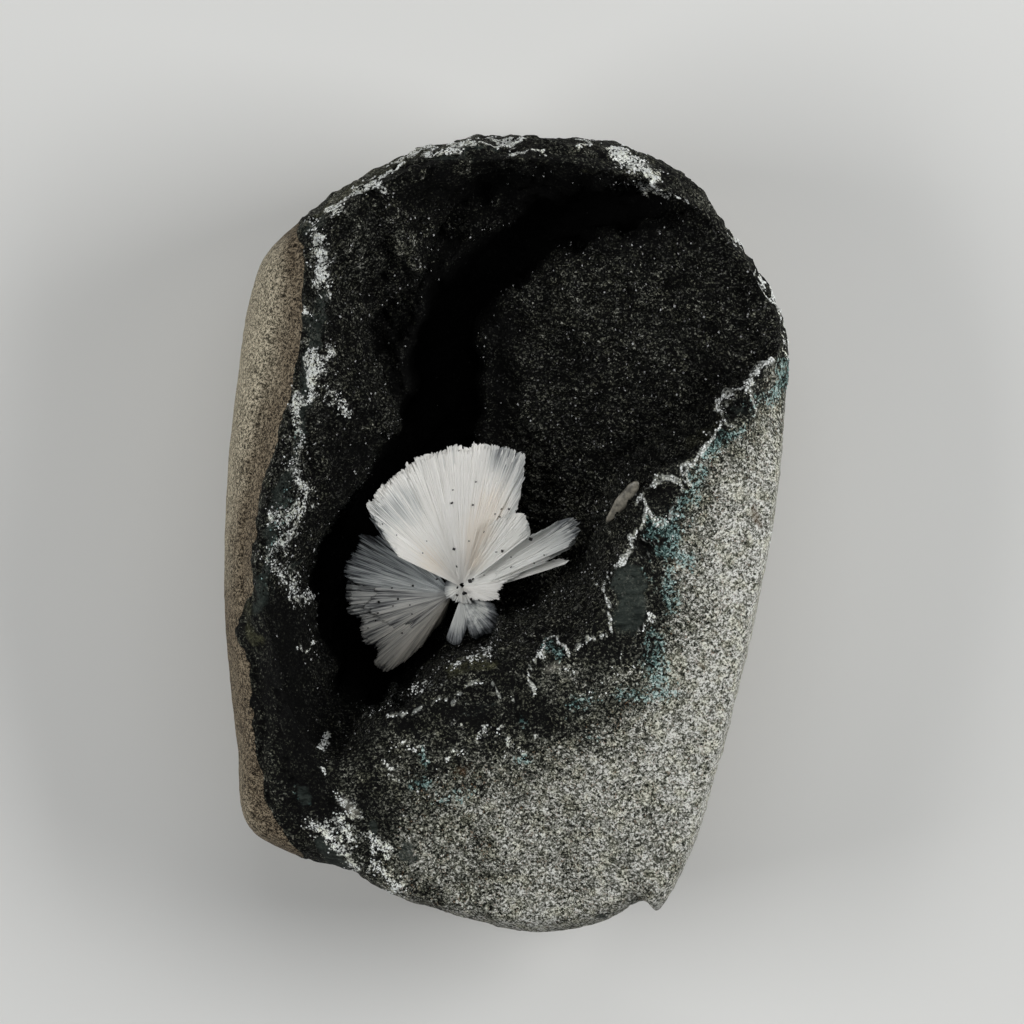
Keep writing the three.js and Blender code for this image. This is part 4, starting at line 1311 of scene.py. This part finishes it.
def stilbite_material(name, stops, level, spread, veil_fall, cool, warm, **inputs):
    """Stilbite: one tone runs through a ramp from dark to white. Fine and broad streaks along the
    blades move it, and it falls towards the tips and where the blades are glassy. Painted shade
    darkens it in the grooves and on low ribs, and painted light brightens the raised ribs and the
    loose blades."""
    shader = Shader(name)
    along, across = shader.field("along"), shader.field("across")
    veil = shader.field("veil")

    def streaks(per_degree, per_length, detail, shift):
        lanes = {0: across * per_degree, 1: along * per_length, 2: shift}
        lanes = shader.node("CombineXYZ", {}, lanes)
        inputs = {"Vector": lanes, "Scale": 1.0, "Detail": detail}
        return shader.node("TexNoise", {}, inputs) * 4.0 - 2.0

    fine = streaks(0.8, 3.0, 3.0, 0.0)
    fibre = streaks(1.9, 2.5, 2.0, 7.0)
    broad = streaks(0.3, 1.6, 2.0, 3.0)
    mottle = shader.noise(1.0, 3.0, 0.6) * 4.0 - 2.0
    shade = fine * 0.48 + fibre * 0.45 + broad * 0.28 + (shader.field("tint") - 0.5) * 0.5
    tone = shade * (along * 0.6 + veil * 0.5 + 0.25) * spread + level
    tone = tone + fibre.step(0.5, 1.1) * spread * 0.4
    tone = tone - along.step(0.55, 1.05) * (veil * veil_fall + 0.10) - veil * veil_fall * 0.8
    tone = tone + mottle * veil.step(0.9, 1.1) * (1 - shader.field("warm")) * 0.3
    # Painted shade in the grooves and on low ribs, painted light on the raised ribs and loose blades.
    tone = tone - shader.field("blade_relief_shade") * spread * 3.0
    base = shader.ramp(tone, stops)
    base = shader.tinted((veil + across.step(62.0, 40.0) * 0.5).step(0.0, 0.8), base, cool)
    base = shader.tinted(shader.field("warm"), base, warm)
    normal = shader.bump(fine + fibre * 0.6, 0.25, 0.06)
    return shader.finish(Base_Color=base, Roughness=0.42 + fibre * 0.06, Normal=normal, **inputs)


# Materials of the small pieces: display colour, roughness, and the share it falls to in its clouds.
PLAIN = {
    "black_specks": ((0.05, 0.045, 0.04), 0.6, 0.7),
    "zeolite_grains": ((0.95, 0.96, 0.95), 0.35, 0.7),
    "dark_druse": ((0.10, 0.105, 0.095), 0.16, 0.7),
    "teal_grains": ((0.52, 0.64, 0.63), 0.4, 0.7),
    "pale_crystal": ((0.56, 0.54, 0.49), 0.4, 0.3),
}


def plain_material(name):
    """A material of one broken colour."""
    shade, roughness, dark = PLAIN[name]
    tone = colour(*shade)
    shader = Shader(name)
    cloud = shader.noise(1.5, 3.0)
    base = shader.mix(cloud.step(0.3, 0.7), tuple(c * dark for c in tone[:3]) + (1,), tone)
    return shader.finish(Base_Color=base, Roughness=roughness)


# Small crystals and grains


def turned(rng, count):
    """Random rotation matrices, from random unit quaternions."""
    q = rng.normal(size=(count, 4))
    w, x, y, z = (q / np.linalg.norm(q, axis=1, keepdims=True)).T
    rows = (
        (1 - 2 * (y * y + z * z), 2 * (x * y - w * z), 2 * (x * z + w * y)),
        (2 * (x * y + w * z), 1 - 2 * (x * x + z * z), 2 * (y * z - w * x)),
        (2 * (x * z - w * y), 2 * (y * z + w * x), 1 - 2 * (x * x + y * y)),
    )
    return np.array(rows).transpose(2, 0, 1)


BLOCK_CORNERS = ((-1, -1), (1, -1), (1, 1), (-1, 1))
BLOCK = np.array([(x, y, z) for z in (-1, 1) for x, y in BLOCK_CORNERS], float)
BLOCK_FACES = np.array(
    [(0, 3, 2, 1), (4, 5, 6, 7), (0, 1, 5, 4), (1, 2, 6, 5), (2, 3, 7, 6), (3, 0, 4, 7)]
)


def make_grains(name, rng, places, sizes, shape, material, slot):
    """Small blocky crystals in one mesh, each turned at random, with its corners a little moved."""
    count = len(places)
    blocks = BLOCK[None] * rng.uniform(0.8, 1.0, (count, 8, 3)) * np.array(shape)
    blocks = np.einsum("nij,nkj->nki", turned(rng, count), blocks) * sizes[:, None, None] / 2
    points = (places[:, None, :] + blocks).reshape(-1, 3)
    faces = (np.arange(count)[:, None, None] * 8 + BLOCK_FACES[None]).reshape(-1, 4)
    mesh = mesh_of(name, points, [faces], smooth=False)
    piece_of(name, mesh, material, slot)


def strew(name, rng, places, span, shape, material, slot):
    """Grains at places, with their sizes evenly spread over a span."""
    sizes = rng.uniform(*span, len(places))
    make_grains(name, rng, places, sizes, shape, plain_material(material), slot)


def make_specks(rng, blades):
    """Small black lumps on the blades, each at the height of the highest blade point near it."""
    away = np.hypot(blades[:, 0] - SPECKS[:, :1], blades[:, 1] - SPECKS[:, 1:2])
    top = np.where(away < 0.5, blades[:, 2], 0).max(1)
    on = top > 0
    places = np.column_stack([SPECKS[on, :2], top[on]])
    sizes = SPECKS[on, 2] * 0.95
    soot = plain_material("black_specks")
    make_grains("black_specks", rng, places, sizes, (1, 0.8, 0.6), soot, "dark_druse")


def scattered(rng, high, weight, count):
    """Places on the surface, more of them where weight times the local area is larger. Each lies at
    random in the cell between a point of the grid and the next row and column."""
    across = np.diff(high, axis=0, append=high[-1:])
    along = np.roll(high, -1, 1) - high
    area = np.linalg.norm(across, axis=-1) * np.linalg.norm(along, axis=-1)
    chance = (weight * area).ravel()
    chosen = rng.choice(chance.size, count, p=chance / chance.sum())
    u, v = rng.random((2, count, 1))
    flat = [f.reshape(-1, 3)[chosen] for f in (high, across, along)]
    return flat[0] + u * flat[1] + v * flat[2]


VEIN_TRIES = 60000


def vein_places(rng, high, fields):
    """Places close to the white veins and to the rims of the ovals."""
    places = scattered(rng, high, fields["vein"] + 0.02, VEIN_TRIES)
    x, y = jagged(places)
    _, rim = rings_round(x, y, OVALS)
    strength = np.maximum(bands(x, y, VEIN_BANDS), 0.7 * rim**2)
    return places[rng.random(len(places)) < 0.45 * strength**3]


# The pale crystal's two ends, and the rings and corners that it is made of.
CRYSTAL_ENDS = from_photo((637, 482), (606, 522))
CRYSTAL_RINGS, CRYSTAL_CORNERS = 17, 10


def make_crystal(high):
    """The pale elongated crystal beside the veins. Its rings stand along an axis that follows the
    slope of the ground under it, and narrow towards both ends."""
    centre = CRYSTAL_ENDS.mean(0)
    reach = np.linalg.norm(CRYSTAL_ENDS[1] - CRYSTAL_ENDS[0]) / 2
    axis = (CRYSTAL_ENDS[1] - CRYSTAL_ENDS[0]) / (2 * reach)
    across = np.array([-axis[1], axis[0]])

    front = high[:HOLLOW_ROWS]
    ground = front[np.hypot(front[..., 0] - centre[0], front[..., 1] - centre[1]) < 3.2]
    place = (ground[:, :2] - centre) @ axis
    beside = np.abs((ground[:, :2] - centre) @ across)
    under = (beside < 1.1) & (np.abs(place) < reach)
    slope = np.polyfit(place[under], ground[under, 2], 1)
    over = np.percentile(ground[under, 2] - np.polyval(slope, place[under]), 72)

    s = np.linspace(-1, 1, CRYSTAL_RINGS)[:, None]
    radius = np.sqrt((1 - s**2).clip(0.02, 1)) * (0.80 - 0.2 * s + 0.06 * np.sin(7 * s + 1))
    turn = np.linspace(0, 2 * np.pi, CRYSTAL_CORNERS, endpoint=False)
    wide = np.sign(np.cos(turn)) * np.abs(np.cos(turn)) ** 0.8
    up = np.where(np.sin(turn) > 0, 0.4, 1.8) * np.sin(turn)
    rings = np.zeros((CRYSTAL_RINGS, CRYSTAL_CORNERS, 3))
    rings[..., :2] = (centre + s * reach * axis)[:, None] + (radius * wide)[..., None] * across
    rings[..., 2] = np.polyval(slope, s * reach) + over + radius * up
    mesh = mesh_of("pale_crystal", *closed_rings(rings))
    piece_of("pale_crystal", mesh, plain_material("pale_crystal"), "white_stilbite")


# The scene


# The soft lights: place and width in millimetres, and power in watts.
LIGHTS = {
    "right_light": ((420, 60, 330), 300, 2.1),
    "left_light": ((-420, -30, 330), 300, 1.6),
    "top_light": ((40, 300, 600), 400, 0.6),
}
FLOOR_REACH = 1500


def make_light(name, place, width, watts):
    """A square light that looks at the origin."""
    data = bpy.data.lights.new(name, "AREA")
    data.size = width * MM
    data.energy = watts
    light = bpy.data.objects.new(name, data)
    light.location = [c * MM for c in place]
    toward = -light.location
    light.rotation_euler = toward.to_track_quat("-Z", "Y").to_euler()
    bpy.context.scene.collection.objects.link(light)


def make_stage():
    """A plain pale floor, three soft lights and a faint bluish light from all round."""
    corners = np.array([(x, y, 0) for x, y in BLOCK_CORNERS], float) * FLOOR_REACH
    floor = bpy.data.objects.new("floor", mesh_of("floor", corners, [np.array([[0, 1, 2, 3]])]))
    bpy.context.scene.collection.objects.link(floor)
    pale = Shader("floor").finish(Base_Color=colour(0.86, 0.86, 0.85), Roughness=0.85)
    floor.data.materials.append(pale)
    for name, settings in LIGHTS.items():
        make_light(name, *settings)
    world = bpy.data.worlds.new("soft_room")
    world.use_nodes = True
    background = world.node_tree.nodes["Background"].inputs
    background["Color"].default_value = (0.9, 0.95, 1, 1)
    background["Strength"].default_value = 0.1
    bpy.context.scene.world = world
    bpy.context.scene.view_settings.view_transform = "Standard"


def make_camera():
    """The camera looks straight down at the middle of the photograph, PIXELS_PER_MM at mid height."""
    above, mid_height, image, sensor = 2000, 21, 1024, 36
    middle = from_photo((image / 2, image / 2))[0]
    data = bpy.data.cameras.new("camera")
    data.sensor_width = sensor
    data.lens = sensor * above / (image / PIXELS_PER_MM)
    data.clip_end = 20
    camera = bpy.data.objects.new("camera", data)
    camera.location = (middle[0] * MM, middle[1] * MM, (mid_height + above) * MM)
    bpy.context.scene.collection.objects.link(camera)
    bpy.context.scene.camera = camera


# Colour ramps of the two sheaves, as those of the stone.
WHITE_RAMP = (
    (0.0, 0.10, 0.11, 0.12),
    (0.3, 0.44, 0.45, 0.46),
    (0.6, 0.80, 0.80, 0.785),
    (0.85, 0.945, 0.935, 0.91),
    (1.0, 0.985, 0.98, 0.965),
)
TRANSLUCENT_RAMP = (
    (0.0, 0.03, 0.033, 0.04),
    (0.25, 0.24, 0.25, 0.27),
    (0.5, 0.60, 0.61, 0.62),
    (0.75, 0.84, 0.85, 0.85),
    (1.0, 1.0, 1.0, 0.99),
)


def white_stilbite():
    return stilbite_material(
        "white_stilbite", WHITE_RAMP, level=0.86, spread=0.15, veil_fall=0.42,
        cool=(0.96, 0.98, 0.985, 1), warm=(1.0, 0.935, 0.86, 1),
        Subsurface_Weight=0.2, Subsurface_Scale=0.0004, Subsurface_Radius=(1.0, 0.95, 0.9),
        Coat_Weight=0.12, Coat_Roughness=0.3,
    )


def grey_stilbite():
    return stilbite_material(
        "grey_stilbite", TRANSLUCENT_RAMP, level=0.72, spread=0.85, veil_fall=0.26,
        cool=(0.92, 0.97, 1.0, 1), warm=(0.33, 0.30, 0.255, 1),
        Transmission_Weight=0.15, IOR=1.5, Coat_Weight=0.15, Coat_Roughness=0.3,
    )


def make_stilbite(rng):
    """Both sheaves, and the black specks on them."""
    blades = [
        make_sheaf("white_sheaf", rng, WHITE_FANS, white_stilbite(), "white_stilbite",
                   "stilbite_white_sheaf"),
        make_sheaf("grey_sheaf", rng, GREY_FANS, grey_stilbite(), "grey_stilbite",
                   "stilbite_grey_sheaf"),
    ]
    make_specks(rng, np.concatenate(blades))


def strew_grains(rng, high, fields):
    """White and teal grains, and the small dark crystals of the open ground of the hollow."""
    clumps = smoothstep(-0.1, 0.4, layered(high, 0.8, 2, 91))
    places = scattered(rng, high, fields["white"] ** 2 * clumps, 4200)
    places = np.concatenate([places, vein_places(rng, high, fields)])
    strew("white_grains", rng, places, (0.10, 0.27), (1, 0.8, 0.7), "zeolite_grains", "white_stilbite")
    places = scattered(rng, high, fields["teal"] ** 3, 320)
    strew("teal_grains", rng, places, (0.12, 0.26), (1, 0.9, 0.6), "teal_grains", "basalt")
    # Fewer dark crystals in the painted shade low in the hollow and in the shade bands.
    open_ground = (1 - fields["deep"]) ** 2 * (1 - 0.97 * fields["shade"])
    places = scattered(rng, high, fields["hollow"] * open_ground, 14000)
    strew("druse_crystals", rng, places, (0.10, 0.32), (1, 0.9, 0.6), "dark_druse", "dark_druse")


def make_specimen():
    high, normals, fields = stone_surfaces()
    make_rock(high, normals, fields, stone_material())
    make_crust(high, normals, fields, crust_material())
    rng = np.random.default_rng(7)
    make_stilbite(rng)
    make_crystal(high)
    strew_grains(rng, high, fields)


make_specimen()
make_stage()
make_camera()
